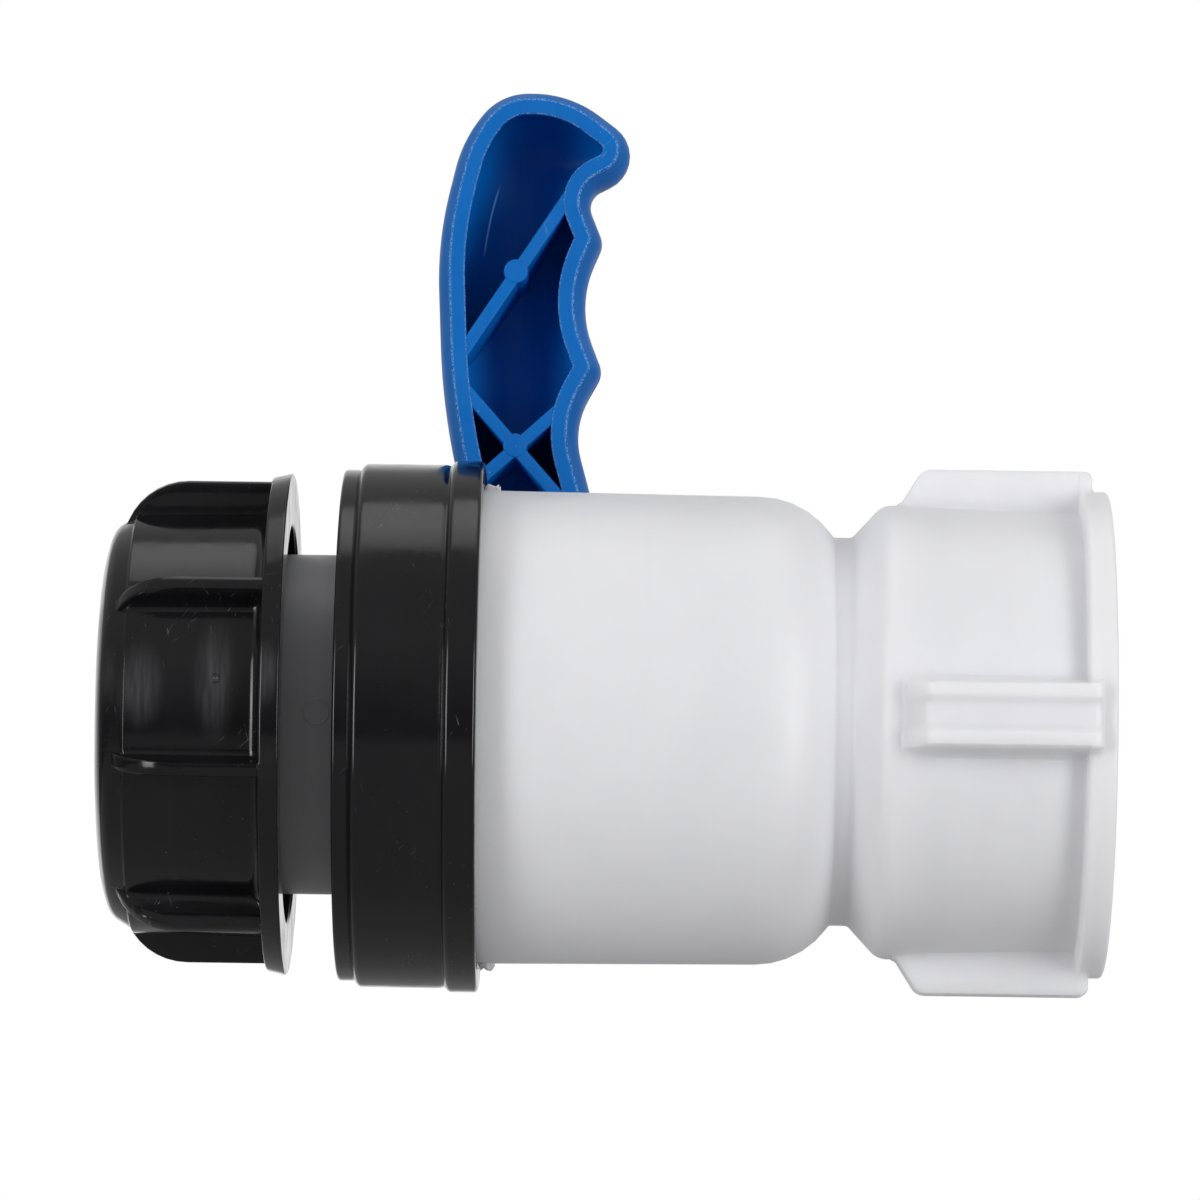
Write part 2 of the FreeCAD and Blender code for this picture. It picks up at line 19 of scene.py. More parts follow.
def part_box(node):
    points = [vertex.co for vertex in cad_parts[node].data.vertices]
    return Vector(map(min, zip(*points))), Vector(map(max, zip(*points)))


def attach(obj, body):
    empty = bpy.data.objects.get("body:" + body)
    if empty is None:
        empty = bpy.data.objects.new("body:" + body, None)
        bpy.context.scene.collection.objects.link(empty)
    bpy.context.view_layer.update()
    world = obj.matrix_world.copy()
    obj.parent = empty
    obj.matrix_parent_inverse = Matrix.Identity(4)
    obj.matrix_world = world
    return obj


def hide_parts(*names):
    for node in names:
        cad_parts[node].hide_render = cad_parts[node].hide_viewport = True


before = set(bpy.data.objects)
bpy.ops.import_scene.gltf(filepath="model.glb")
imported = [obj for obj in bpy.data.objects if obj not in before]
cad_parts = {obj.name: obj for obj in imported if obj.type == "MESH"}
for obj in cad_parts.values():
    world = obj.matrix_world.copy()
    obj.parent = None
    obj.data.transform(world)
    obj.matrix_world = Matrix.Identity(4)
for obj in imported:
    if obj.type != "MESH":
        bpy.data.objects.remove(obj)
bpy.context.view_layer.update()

Socket = bpy.types.NodeSocket
Triple = tuple[float, float, float]
LOG = logging.getLogger("valve")
MM = 0.001
WELD = 1e-6
SMOOTH_ANGLE = math.radians(32)
SIDE_SHARE = 0.96
CRISP_GAP, CRISP_SHARE = 0.3, 0.15
RIDGE_STEPS = 96
STEM_X = sum(corner[0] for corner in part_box("stem")) / 2 / MM
HUB_DEPTH = 20.0
LEVER_RIM_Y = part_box("handle_plug")[1][1] / MM - HUB_DEPTH
SCRATCH_LINES = (((3400, 900, 150), (0.0, 0.3, 0.0)), ((210, 900, 3600), (0.0, 0.7, 0.1)),
                 ((3100, 900, 190), (0.2, -0.5, 0.0)))


class Body(Enum):
    """Moving bodies of the frame that a piece can ride on."""

    VALVE = "valve"
    LEVER = "lever"
    CAP = "cap"
    CAP_SEAL = "cap_seal"


# Shapes


@dataclass
class Skin:
    """A closed surface: points in millimetres, its quads, and flat many-sided end faces."""

    points: np.ndarray
    quads: np.ndarray
    caps: list[np.ndarray] = field(default_factory=list)

    def moved(self, matrix: Matrix) -> "Skin":
        """The same skin turned and shifted by a 4 by 4 matrix."""
        turn = np.array(matrix)
        return Skin(self.points @ turn[:3, :3].T + turn[:3, 3], self.quads, self.caps)


def grid_skin(points: np.ndarray, close_rows: bool = True, cap_ends: bool = False) -> Skin:
    """Surface over a grid whose columns close on themselves.

    Vertex (i, j) joins (i + 1, j), (i + 1, j + 1) and (i, j + 1), counted round where closed.

    Args:
        points: Array of rows by columns by 3.
        close_rows: Whether the last row joins the first.
        cap_ends: Whether the first and last rows become flat end faces.

    Returns:
        The skin.
    """
    rows, columns = points.shape[:2]
    starts = np.arange(rows if close_rows else rows - 1)
    i, j = np.meshgrid(starts, np.arange(columns), indexing="ij")
    down, right = (i + 1) % rows, (j + 1) % columns
    quads = np.stack([i * columns + j, down * columns + j, down * columns + right,
                      i * columns + right], -1)
    caps = [np.arange(columns), np.arange(columns) + (rows - 1) * columns] if cap_ends else []
    return Skin(points.reshape(-1, 3), quads.reshape(-1, 4), caps)


def filleted(corners: np.ndarray, steps: int = 6, mids: int = 2, closed: bool = True) -> np.ndarray:
    """Outline through corners, each rounded by a circular arc.

    A corner's arc starts and ends its reach away along the two sides. With half the corner's
    angle h, its centre lies reach / cos h along the bisector, and a point at share t of the arc
    is centre + (sin((1 - t) a) start + sin(t a) end) / sin a, where a is the arc's angle. Sides
    get evenly spaced points between two that stand close to the arcs and keep them crisp.
    Where two arcs would fill more than SIDE_SHARE of a side, their reach shrinks.

    Args:
        corners: Array of n by 3 with u, v and reach.
        steps: Points on each arc.
        mids: Evenly spaced points on each side.
        closed: Whether the last corner joins the first.

    Returns:
        Array of points by 2, the same number whatever the sizes are.
    """
    place, reach = corners[:, :2], corners[:, 2:3].copy()
    before, after = np.roll(place, 1, 0), np.roll(place, -1, 0)
    to_before, to_after = before - place, after - place
    back = np.linalg.norm(to_before, axis=1, keepdims=True) + 1e-9
    ahead = np.linalg.norm(to_after, axis=1, keepdims=True) + 1e-9
    to_before, to_after = to_before / back, to_after / ahead
    needed = reach + np.roll(reach, -1, 0)
    share = np.minimum(1.0, SIDE_SHARE * ahead / np.maximum(needed, 1e-9))
    reach *= np.minimum(share, np.roll(share, 1, 0))
    if not closed:
        reach[[0, -1]] = 0.0
    start, end = place + to_before * reach, place + to_after * reach
    half = np.arccos(np.clip((to_before * to_after).sum(1, keepdims=True), -1, 1)) / 2
    flat = (half > math.pi / 2 - 1e-3) | (reach < 1e-7)
    bisector = to_before + to_after
    length = np.linalg.norm(bisector, axis=1, keepdims=True)
    centre = place + bisector / np.maximum(length, 1e-9) * reach / np.maximum(np.cos(half), 1e-6)
    turn = np.where(flat, 1.0, math.pi - 2 * half)[:, None]
    t = np.linspace(0, 1, steps)[None, :, None]
    arc = centre[:, None] + (np.sin((1 - t) * turn) * (start - centre)[:, None]
                             + np.sin(t * turn) * (end - centre)[:, None]) / np.sin(turn)
    straight = start[:, None] * (1 - t) + end[:, None] * t
    arc = np.where(flat[:, None], straight, arc)
    onward = np.roll(start, -1, 0)
    run = np.linalg.norm(onward - end, axis=1)[:, None]
    near = np.minimum(CRISP_GAP, CRISP_SHARE * run) / np.maximum(run, 1e-9)
    spread = near + (1 - 2 * near) * np.linspace(0, 1, mids + 2)[None]
    side = end[:, None] * (1 - spread[..., None]) + onward[:, None] * spread[..., None]
    outline = np.concatenate([arc, side], 1)
    if not closed:
        return np.concatenate([outline[0, steps - 1:], *outline[1:-1], outline[-1, :1]])
    return outline.reshape(-1, 2)


def turned_flow(profile: np.ndarray, segments: int = 192) -> Skin:
    """Closed profile (axial, radial) turned about the flow axis: y = r cos a and z = r sin a."""
    angle = np.linspace(0, math.tau, segments, endpoint=False)[None]
    axial, radial = profile[:, :1], profile[:, 1:]
    points = np.stack([axial + 0 * angle, radial * np.cos(angle), radial * np.sin(angle)], -1)
    return grid_skin(points)


def turned_stem(profile: np.ndarray, segments: int = 128) -> Skin:
    """Closed profile (height, radial) turned about the stem axis."""
    angle = np.linspace(0, math.tau, segments, endpoint=False)[None]
    height, radial = profile[:, :1], profile[:, 1:]
    points = np.stack([STEM_X + radial * np.cos(angle), height + 0 * angle,
                       radial * np.sin(angle)], -1)
    return grid_skin(points)


def raised_sector(outlines: list[np.ndarray], shares: list[np.ndarray], across: np.ndarray,
                  narrow_r: float, angle: np.ndarray) -> np.ndarray:
    """Grid of one sector of a turned skin whose first columns climb a straight-sided block.

    A column across the block keeps y = t, and its (x, z) mixes the plain (x, sqrt(r r - t t))
    with the raised profiles. A column beside it lies at y = r sin a, z = r cos a.

    Args:
        outlines: The plain profile (axial, radial), then the raised ones.
        shares: Each column's share of each raised profile.
        across: Each column's distance t from the block's middle plane.
        narrow_r: Radius inside which t shrinks with r, so that columns meet on the axis.
        angle: Angles a of the columns beside the block.

    Returns:
        Array of rows by columns by 3.
    """
    plain, radius = outlines[0], outlines[0][:, 1:]
    y = across * np.minimum(1.0, radius / narrow_r)
    raised = np.abs(outlines[1] - plain).max(1, keepdims=True) > 1e-9
    weights = [np.where(raised, share, 0.0) for share in shares]
    rest = 1 - sum(weights)
    x, z = plain[:, :1] * rest, np.sqrt(np.maximum(radius ** 2 - y ** 2, 0.0)) * rest
    for outline, weight in zip(outlines[1:], weights):
        x, z = x + outline[:, :1] * weight, z + outline[:, 1:] * weight
    beside = [plain[:, :1] + 0 * angle, radius * np.sin(angle), radius * np.cos(angle)]
    return np.concatenate([np.stack([x, y, z], -1), np.stack(beside, -1)], 1)


def mirrored(values: list[float], sign: float = 1.0) -> np.ndarray:
    """Values from the last to the first and back, those before the first times a sign."""
    return np.array([value * sign for value in values[:0:-1]] + list(values), float)


def round_flow(sector: np.ndarray, turns: list[float]) -> Skin:
    """Closed grid made of one sector's grid, turned about the flow axis by each of the angles."""
    placed = []
    for turn in turns:
        y = sector[..., 1] * math.cos(turn) - sector[..., 2] * math.sin(turn)
        z = sector[..., 1] * math.sin(turn) + sector[..., 2] * math.cos(turn)
        placed.append(np.stack([sector[..., 0], y, z], -1))
    return grid_skin(np.concatenate(placed, 1))


def rounded_box(size: Triple, radius: float, steps: int = 4) -> Skin:
    """Box centred on the origin, with round edges.

    Each level is a rounded rectangle drawn in by r (1 - cos a) while it rises by r (1 - sin a),
    so the edges of both ends are quarter circles.

    Args:
        size: Lengths along x, y and z.
        radius: Radius of the edges.
        steps: Levels in each rounded end.

    Returns:
        The skin, its ends closed by flat faces.
    """
    angle = np.linspace(math.pi / 2, 0, steps)
    draw = np.concatenate([radius * (1 - np.cos(angle)), radius * (1 - np.cos(angle[::-1]))])
    climb = radius * (1 - np.sin(angle))
    rise = np.concatenate([climb, size[2] - climb[::-1]])
    half = np.array([[1, 1], [-1, 1], [-1, -1], [1, -1]]) / 2
    levels = []
    for inward in draw:
        corners = half * (np.array(size[:2]) - 2 * inward)
        reach = np.full((4, 1), max(radius - inward, 0.02))
        levels.append(filleted(np.hstack([corners, reach]), steps, 0))
    outline = np.array(levels)
    height = np.broadcast_to((rise - size[2] / 2)[:, None, None], outline.shape[:2] + (1,))
    return grid_skin(np.concatenate([outline, height], -1), close_rows=False, cap_ends=True)


def helical_ridge(x0: float, x1: float, pitch: float, root: float, crest: float, foot_width: float,
                  crest_width: float, phase: float = 0.0) -> Skin:
    """Right-hand thread ridge about the flow axis that fades out at both ends.

    Its axial place is x0 + pitch a / 2 pi + w and its radius root + h, where (w, h) runs round
    a trapezium and both shrink to nothing over the first and last third of a turn.

    Args:
        x0: Where the ridge starts.
        x1: Where it ends.
        pitch: Travel in one turn.
        root: Radius its foot is sunk to.
        crest: Radius of its crest, inside or outside the root.
        foot_width: Width at the foot.
        crest_width: Width at the crest.
        phase: Angle at which it starts, in radians.

    Returns:
        The skin.
    """
    turns = (x1 - x0) / pitch
    angle = np.linspace(0, turns * math.tau, int(turns * RIDGE_STEPS))[:, None]
    rise = crest - root
    corners = np.array([[-foot_width / 2, 0, 0], [-crest_width / 2, rise, 0.35],
                        [crest_width / 2, rise, 0.35], [foot_width / 2, 0, 0]])
    section = filleted(corners, 4, 1)
    ends = np.minimum(angle, angle[-1] - angle) / (math.tau / 3)
    fade = np.sin(np.clip(ends, 0, 1) * math.pi / 2)
    radius = root + section[None, :, 1] * fade
    x = x0 + pitch * angle / math.tau + section[None, :, 0] * fade
    points = np.stack([x, radius * np.cos(angle + phase), radius * np.sin(angle + phase)], -1)
    return grid_skin(points, close_rows=False)


def bent_about_stem(skin: Skin, middle_deg: float, radius: float, height: float) -> Skin:
    """Skin laid round the stem: its x becomes arc length, its y radius and its z height.

    Args:
        skin: A skin centred on the origin.
        middle_deg: Angle of its middle from +Z towards the outlet.
        radius: Radius of its middle.
        height: Height of its middle along the stem.

    Returns:
        The bent skin.
    """
    angle = math.radians(middle_deg) + skin.points[:, 0] / radius
    out = radius + skin.points[:, 1]
    points = np.stack([STEM_X - out * np.sin(angle), height + skin.points[:, 2],
                       out * np.cos(angle)], -1)
    return Skin(points, skin.quads, skin.caps)


# Meshes


def smooth_faces(mesh: bpy.types.Mesh) -> None:
    """Shades a mesh smooth, with hard edges only where faces meet at a clear angle."""
    mesh.polygons.foreach_set("use_smooth", np.ones(len(mesh.polygons), dtype=bool))
    mesh.set_sharp_from_angle(angle=SMOOTH_ANGLE)
    mesh.update()


def welded(mesh: bpy.types.Mesh, turn_out: bool = True) -> None:
    """Merges coincident points, closes seams and poles and turns the faces outwards."""
    work = bmesh.new()
    work.from_mesh(mesh)
    bmesh.ops.remove_doubles(work, verts=work.verts, dist=WELD)
    if turn_out:
        bmesh.ops.recalc_face_normals(work, faces=work.faces)
    work.to_mesh(mesh)
    work.free()


def mesh_object(name: str, skins: list[Skin]) -> bpy.types.Object:
    """Object made of one or more skins, in metres, at the origin.

    Args:
        name: Name of the piece.
        skins: Closed skins in millimetres.

    Returns:
        The new object, linked to the scene.
    """
    points, loops, sizes, shift = [], [], [], 0
    for skin in skins:
        points.append(skin.points)
        loops += [skin.quads.ravel() + shift, *[cap + shift for cap in skin.caps]]
        sizes += [np.full(len(skin.quads), 4), np.array([len(cap) for cap in skin.caps], dtype=int)]
        shift += len(skin.points)
    place = np.concatenate(points) * MM
    corner, size = np.concatenate(loops).astype(np.int32), np.concatenate(sizes).astype(np.int32)
    mesh = bpy.data.meshes.new(name)
    mesh.vertices.add(len(place))
    mesh.vertices.foreach_set("co", place.astype(np.float32).ravel())
    mesh.loops.add(len(corner))
    mesh.loops.foreach_set("vertex_index", corner)
    mesh.polygons.add(len(size))
    mesh.polygons.foreach_set("loop_start", (np.cumsum(size) - size).astype(np.int32))
    mesh.update(calc_edges=True)
    mesh.validate()
    welded(mesh)
    smooth_faces(mesh)
    piece = bpy.data.objects.new(name, mesh)
    bpy.context.scene.collection.objects.link(piece)
    return piece


def cut_or_joined(piece: bpy.types.Object, skins: list[Skin], operation: str) -> None:
    """Joins skins to a piece, or cuts them out of it, and keeps the result as its mesh.

    Args:
        piece: The piece to change.
        skins: Closed skins in millimetres.
        operation: "UNION", "DIFFERENCE" or "INTERSECT".
    """
    for number, skin in enumerate(skins):
        tool = mesh_object(f"{piece.name}_tool_{number}", [skin])
        change = piece.modifiers.new("Change", "BOOLEAN")
        change.operation, change.solver, change.object = operation, "EXACT", tool
        bpy.context.view_layer.update()
        changed = piece.evaluated_get(bpy.context.evaluated_depsgraph_get())
        result = bpy.data.meshes.new_from_object(changed)
        piece.modifiers.clear()
        old, piece.data = piece.data, result
        bpy.data.meshes.remove(old)
        bpy.data.objects.remove(tool)
    piece.data.name = piece.name
    welded(piece.data)
    smooth_faces(piece.data)


def node_copy(node: str) -> bpy.types.Object:
    """Merged, smoothly shaded copy of a CAD node's mesh, which stands for the node."""
    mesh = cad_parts[node].data.copy()
    mesh.materials.clear()
    welded(mesh, turn_out=False)
    smooth_faces(mesh)
    piece = bpy.data.objects.new(node + "_piece", mesh)
    bpy.context.scene.collection.objects.link(piece)
    return piece


def dressed(piece: bpy.types.Object, slot: str, body: Body, nodes: tuple[str, ...] = (),
            finish: str = "") -> None:
    """Gives a piece its material and its body, and hides the CAD nodes it stands for.

    Args:
        piece: The piece.
        slot: Names its finish where no other finish is given.
        body: Body it moves with.
        nodes: CAD nodes that it replaces.
        finish: Name of its finish where it isn't the slot's.
    """
    piece.data.materials.clear()
    piece.data.materials.append(MATERIALS[finish or slot])
    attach(piece, body.value)
    if nodes:
        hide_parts(*nodes)
    LOG.info("%s: %d faces on %s", piece.name, len(piece.data.polygons), body.value)


# Finishes


class Nodes:
    """Adds and links the nodes of one tree."""

    def __init__(self, tree: bpy.types.NodeTree) -> None:
        """Keeps the tree."""
        self.tree = tree

    def put(self, socket: Socket, value: object) -> None:
        """Links an output to a socket, or sets the socket's own value."""
        if isinstance(value, Socket):
            self.tree.links.new(value, socket)
        else:
            socket.default_value = value

    def add(self, kind: str, inputs: dict[int | str, object], **settings: str) -> bpy.types.Node:
        """New shader node of a kind with its settings, and its inputs linked or set."""
        node = self.tree.nodes.new("ShaderNode" + kind)
        for name, value in settings.items():
            setattr(node, name, value)
        for key, value in inputs.items():
            self.put(node.inputs[key], value)
        return node

    def maths(self, operation: str, first: object, *others: object) -> Socket:
        """Result of math nodes that work through the values from left to right."""
        for other in others or (0.0,):
            first = self.add("Math", {0: first, 1: other}, operation=operation).outputs[0]
        return first

    def ramp(self, value: object, low: float, high: float, start: float = 0.0,
             end: float = 1.0) -> Socket:
        """Value mapped from low..high to start..end, smoothly and held beyond them."""
        inputs = {"Value": value, "From Min": low, "From Max": high, "To Min": start, "To Max": end}
        return self.add("MapRange", inputs, interpolation_type="SMOOTHSTEP").outputs["Result"]

    def blend(self, share: object, first: object, second: object) -> Socket:
        """Mix of two colours."""
        return self.add("Mix", {0: share, 6: first, 7: second}, data_type="RGBA").outputs[2]

    def mix(self, share: object, first: object, second: object) -> Socket:
        """Mix of two numbers."""
        return self.add("Mix", {0: share, 2: first, 3: second}, data_type="FLOAT").outputs[0]


class Bench(Nodes):
    """The nodes of one material, with its shader and its object coordinates."""

    def __init__(self, name: str) -> None:
        """Starts a material of this name."""
        self.material = bpy.data.materials.new(name)
        self.material.use_nodes = True
        super().__init__(self.material.node_tree)
        self.shader = next(n for n in self.tree.nodes if n.type == "BSDF_PRINCIPLED")
        self.place = self.add("TexCoord", {}).outputs["Object"]

    def finish(self, inputs: dict[str, object]) -> bpy.types.Material:
        """Links or sets the shader's inputs and hands over the material."""
        for name, value in inputs.items():
            self.put(self.shader.inputs[name], value)
        return self.material

    def stretched(self, scale: Triple,
                  turn: Triple = (0.0, 0.0, 0.0)) -> Socket:
        """Object coordinates turned, then multiplied along each axis."""
        turned = self.add("Mapping", {"Vector": self.place, "Rotation": turn}).outputs["Vector"]
        return self.add("Mapping", {"Vector": turned, "Scale": scale}).outputs["Vector"]

    def noise(self, scale: float, detail: float = 3.0, vector: Socket | None = None,
              distortion: float = 0.0) -> Socket:
        """Soft random value of about 0 to 1; scale counts its grains in a metre."""
        inputs = {"Vector": vector or self.place, "Scale": scale, "Detail": detail,
                  "Distortion": distortion}
        return self.add("TexNoise", inputs).outputs["Fac"]

    def bump(self, height: object, depth_mm: float,
             normal: Socket | None = None) -> Socket:
        """Normal bent by a height that counts depth_mm from 0 to 1."""
        inputs = {"Strength": 1.0, "Distance": depth_mm * MM, "Height": height}
        if normal:
            inputs["Normal"] = normal
        return self.add("Bump", inputs).outputs["Normal"]

    def distance(self, centre: tuple[float, ...], along: float,
                 across: float) -> Socket:
        """Distance from a point (mm), counted in one length along x and another beside it."""
        scale = np.array([1 / along, 1 / across, 1 / across])
        counted = self.add("Mapping", {"Vector": self.place, "Scale": scale / MM,
                                       "Location": -np.array(centre) * scale}).outputs["Vector"]
        return self.add("VectorMath", {0: counted}, operation="LENGTH").outputs["Value"]

    def axis(self, letter: str) -> Socket:
        """One object coordinate."""
        return self.add("SeparateXYZ", {0: self.place}).outputs[letter]



class Wear(Enum):
    """Marks that a moulded surface carries."""

    FRESH = "fresh"
    SCUFFED = "scuffed"
    DUSTY = "dusty"


@dataclass(frozen=True)
class MouldedPlastic:
    """Injection-moulded plastic: mottled colour, fine grain, flow streaks and light wear."""

    name: str
    colour: Triple
    shade: Triple
    mark_and_highlight: Triple
    roughness: float
    roughness_spread: float = 0.06
    grain_depth: float = 0.006
    wave_depth: float = 0.02
    subsurface: float = 0.0
    blur_length: float = 6.5
    gloss: float = 0.5
    streaks: float = 0.25
    streak_scale: Triple = (900.0, 14.0, 14.0)
    ripple_depth: float = 0.0
    wear: Wear = Wear.FRESH
    rim_height: float = 0.0
    gate_sheen_spots: tuple[tuple[float, ...], ...] = ()
    scar_width: float = 0.7
    scar_height: float = 0.25
    chafing: float = 0.0
    painted_glint_line: tuple[float, float, float, float, float] | None = None
    pocket_heights: tuple[float, float] = (1.0, 18.2)

    def material(self) -> bpy.types.Material:
        """Builds the node material.

        Returns:
            Material whose colour mixes a shade by slow noise, marks by thin scratches and a painted
            sheen round each given spot.
        """
        bench = Bench(self.name)
        shade, mark_and_highlight = (*self.shade, 1), (*self.mark_and_highlight, 1)
        mottle = bench.maths("MULTIPLY", bench.ramp(bench.noise(70, 4), 0.35, 0.7), 0.5)
        streak = bench.noise(1, 5, bench.stretched(self.streak_scale))
        colour = bench.blend(mottle, (*self.colour, 1), shade)
        colour = bench.blend(bench.ramp(streak, 0.5, 0.75, 0, self.streaks), colour, shade)
        rough = bench.ramp(bench.noise(160, 5), 0.3, 0.7, self.roughness - self.roughness_spread,
                           self.roughness + self.roughness_spread)
        if self.wear is not Wear.FRESH:
            scratches = self.scratches(bench)
            colour = bench.blend(scratches, colour, mark_and_highlight)
            rough = bench.maths("ADD", rough, bench.maths("MULTIPLY", scratches, 0.25))
        # Painted sheen: each spot gets a pale haze that stands in for a soft lamp reflection.
        for sheen_spot in self.gate_sheen_spots:
            colour = bench.blend(self.painted_sheen(bench, sheen_spot), colour, mark_and_highlight)
        return bench.finish({
            "Base Color": colour, "Roughness": rough, "Normal": self.relief(bench),
            "Subsurface Weight": self.subsurface, "Subsurface Radius": (1.0, 0.95, 0.9),
            "Subsurface Scale": self.blur_length * MM, "Specular IOR Level": self.gloss})

    def relief(self, bench: Bench) -> Socket:
        """Normal bent by slow waves, ripples, the first gate's ring and fine grain."""
        normal = bench.bump(bench.noise(60, 2), self.wave_depth)
        if self.ripple_depth:
            normal = bench.bump(bench.noise(330, 3), self.ripple_depth, normal)
            rings = bench.noise(1, 3, bench.stretched((1500, 90, 90)))
            normal = bench.bump(rings, self.ripple_depth / 3, normal)
        if self.gate_sheen_spots:
            away = bench.distance(self.gate_sheen_spots[0][:3], self.scar_width, self.scar_width)
            ring = bench.maths("MULTIPLY", bench.ramp(away, 0.5, 0.8),
                               bench.ramp(away, 1.0, 1.3, 1.0, 0.0))
            normal = bench.bump(ring, self.scar_height, normal)
        return bench.bump(bench.noise(2600, 2), self.grain_depth, normal)

    def painted_sheen(self, bench: Bench, sheen_spot: tuple[float, ...]) -> Socket:
        """Painted sheen: a pale haze standing in for a lamp's soft reflection, fading with the
        distance from a spot, streaky along the turn.
        """
        away = bench.distance(sheen_spot[:3], *sheen_spot[3:])
        streaky = bench.noise(1, 4, bench.stretched((1500, 150, 150)))
        return bench.maths("MULTIPLY", bench.ramp(away, 0.1, 1.0, 0.2, 0.0),
                           bench.ramp(streaky, 0.3, 0.7, 0.45, 1.0))

    def line(self, bench: Bench) -> Socket:
        """Painted highlight: a fine pale line on the hollow side, standing in for a lamp's
        reflection on the pocket's curved wall; x follows a parabola in z over a short length.
        """
        x, z, slope, bend, reach = self.painted_glint_line
        along = bench.maths("SUBTRACT", bench.axis("Z"), z * MM)
        bent = bench.maths("ADD", bench.maths("MULTIPLY", along, bend / MM), slope)
        off = bench.maths("SUBTRACT", bench.axis("X"), x * MM, bench.maths("MULTIPLY", bent, along))
        height = bench.axis("Y")
        low, high = (self.rim_height + rise for rise in self.pocket_heights)
        return bench.maths(
            "MULTIPLY", bench.ramp(bench.maths("ABSOLUTE", off), 0.07 * MM, 0.2 * MM, 1.0, 0.0),
            bench.ramp(bench.maths("ABSOLUTE", along), reach * MM * 0.6, reach * MM, 1.0, 0.0),
            bench.ramp(height, low * MM, (low + 1) * MM),
            bench.ramp(height, high * MM, (high + 0.4) * MM, 1.0, 0.0))

    def scratches(self, bench: Bench) -> Socket:
        """Thin broken lines and specks; on a scuffed rim they gather at the rim's own height, and a
        given painted highlight line joins them.
        """
        lines = [bench.ramp(bench.noise(1, 1, bench.stretched(*line), 0.6), 0.72, 0.75)
                 for line in SCRATCH_LINES]
        patches = bench.ramp(bench.noise(90, 3), 0.56, 0.7)
        worn = bench.maths("MULTIPLY", bench.maths("MAXIMUM", *lines), patches)
        specks = bench.ramp(bench.noise(2600, 1), 0.77, 0.8)
        dusty = bench.ramp(bench.noise(55, 2), 0.45, 0.62)
        marks = bench.maths("MAXIMUM", worn, bench.maths("MULTIPLY", specks, dusty))
        if self.wear is not Wear.SCUFFED:
            return bench.maths("MULTIPLY", marks, 0.35)
        height, level = bench.axis("Y"), self.rim_height * MM
        near = bench.ramp(height, level + 0.3 * MM, level + 1.5 * MM, 0.8, 0.08)
        edge = bench.maths("MULTIPLY", bench.ramp(height, level + 0.02 * MM, level + 0.08 * MM),
                           bench.ramp(height, level + 0.3 * MM, level + 0.6 * MM, 1.0, 0.0))
        chafed = bench.ramp(bench.noise(3400, 2), 0.44, 0.6, 0.0, self.chafing)
        marks = bench.maths("MAXIMUM", bench.maths("MULTIPLY", marks, near),
                            bench.maths("MULTIPLY", chafed, edge))
        # The painted highlight line is mixed in with the marks here.
        return bench.maths("MAXIMUM", marks, self.line(bench)) if self.painted_glint_line else marks


@dataclass(frozen=True)
class Rubber:
    """Matt elastomer with a fine bloom."""

    name: str
    colour: Triple
    roughness: float = 0.6

    def material(self) -> bpy.types.Material:
        """Builds the node material."""
        bench = Bench(self.name)
        bloom = bench.ramp(bench.noise(300, 5), 0.45, 0.75, 0, 0.5)
        lighter = tuple(min(1.0, channel * 2.2 + 0.01) for channel in self.colour)
        rough = bench.ramp(bench.noise(500, 3), 0.3, 0.7, self.roughness - 0.08,
                           self.roughness + 0.08)
        return bench.finish({"Base Color": bench.blend(bloom, (*self.colour, 1), (*lighter, 1)),
                             "Roughness": rough, "Normal": bench.bump(bench.noise(1800, 3), 0.01)})


@dataclass(frozen=True)
class Steel:
    """Bright stainless steel with turning marks."""

    name: str
    colour: Triple
    roughness: float = 0.28

    def material(self) -> bpy.types.Material:
        """Builds the node material."""
        bench = Bench(self.name)
        turning = bench.noise(1, 3, bench.stretched((500, 5200, 500)))
        darker = tuple(channel * 0.8 for channel in self.colour)
        colour = bench.blend(bench.ramp(turning, 0.35, 0.7), (*self.colour, 1), (*darker, 1))
        rough = bench.ramp(turning, 0.3, 0.7, self.roughness - 0.06, self.roughness + 0.1)
        return bench.finish({"Base Color": colour, "Metallic": 1.0, "Roughness": rough,
                             "Normal": bench.bump(turning, 0.004)})


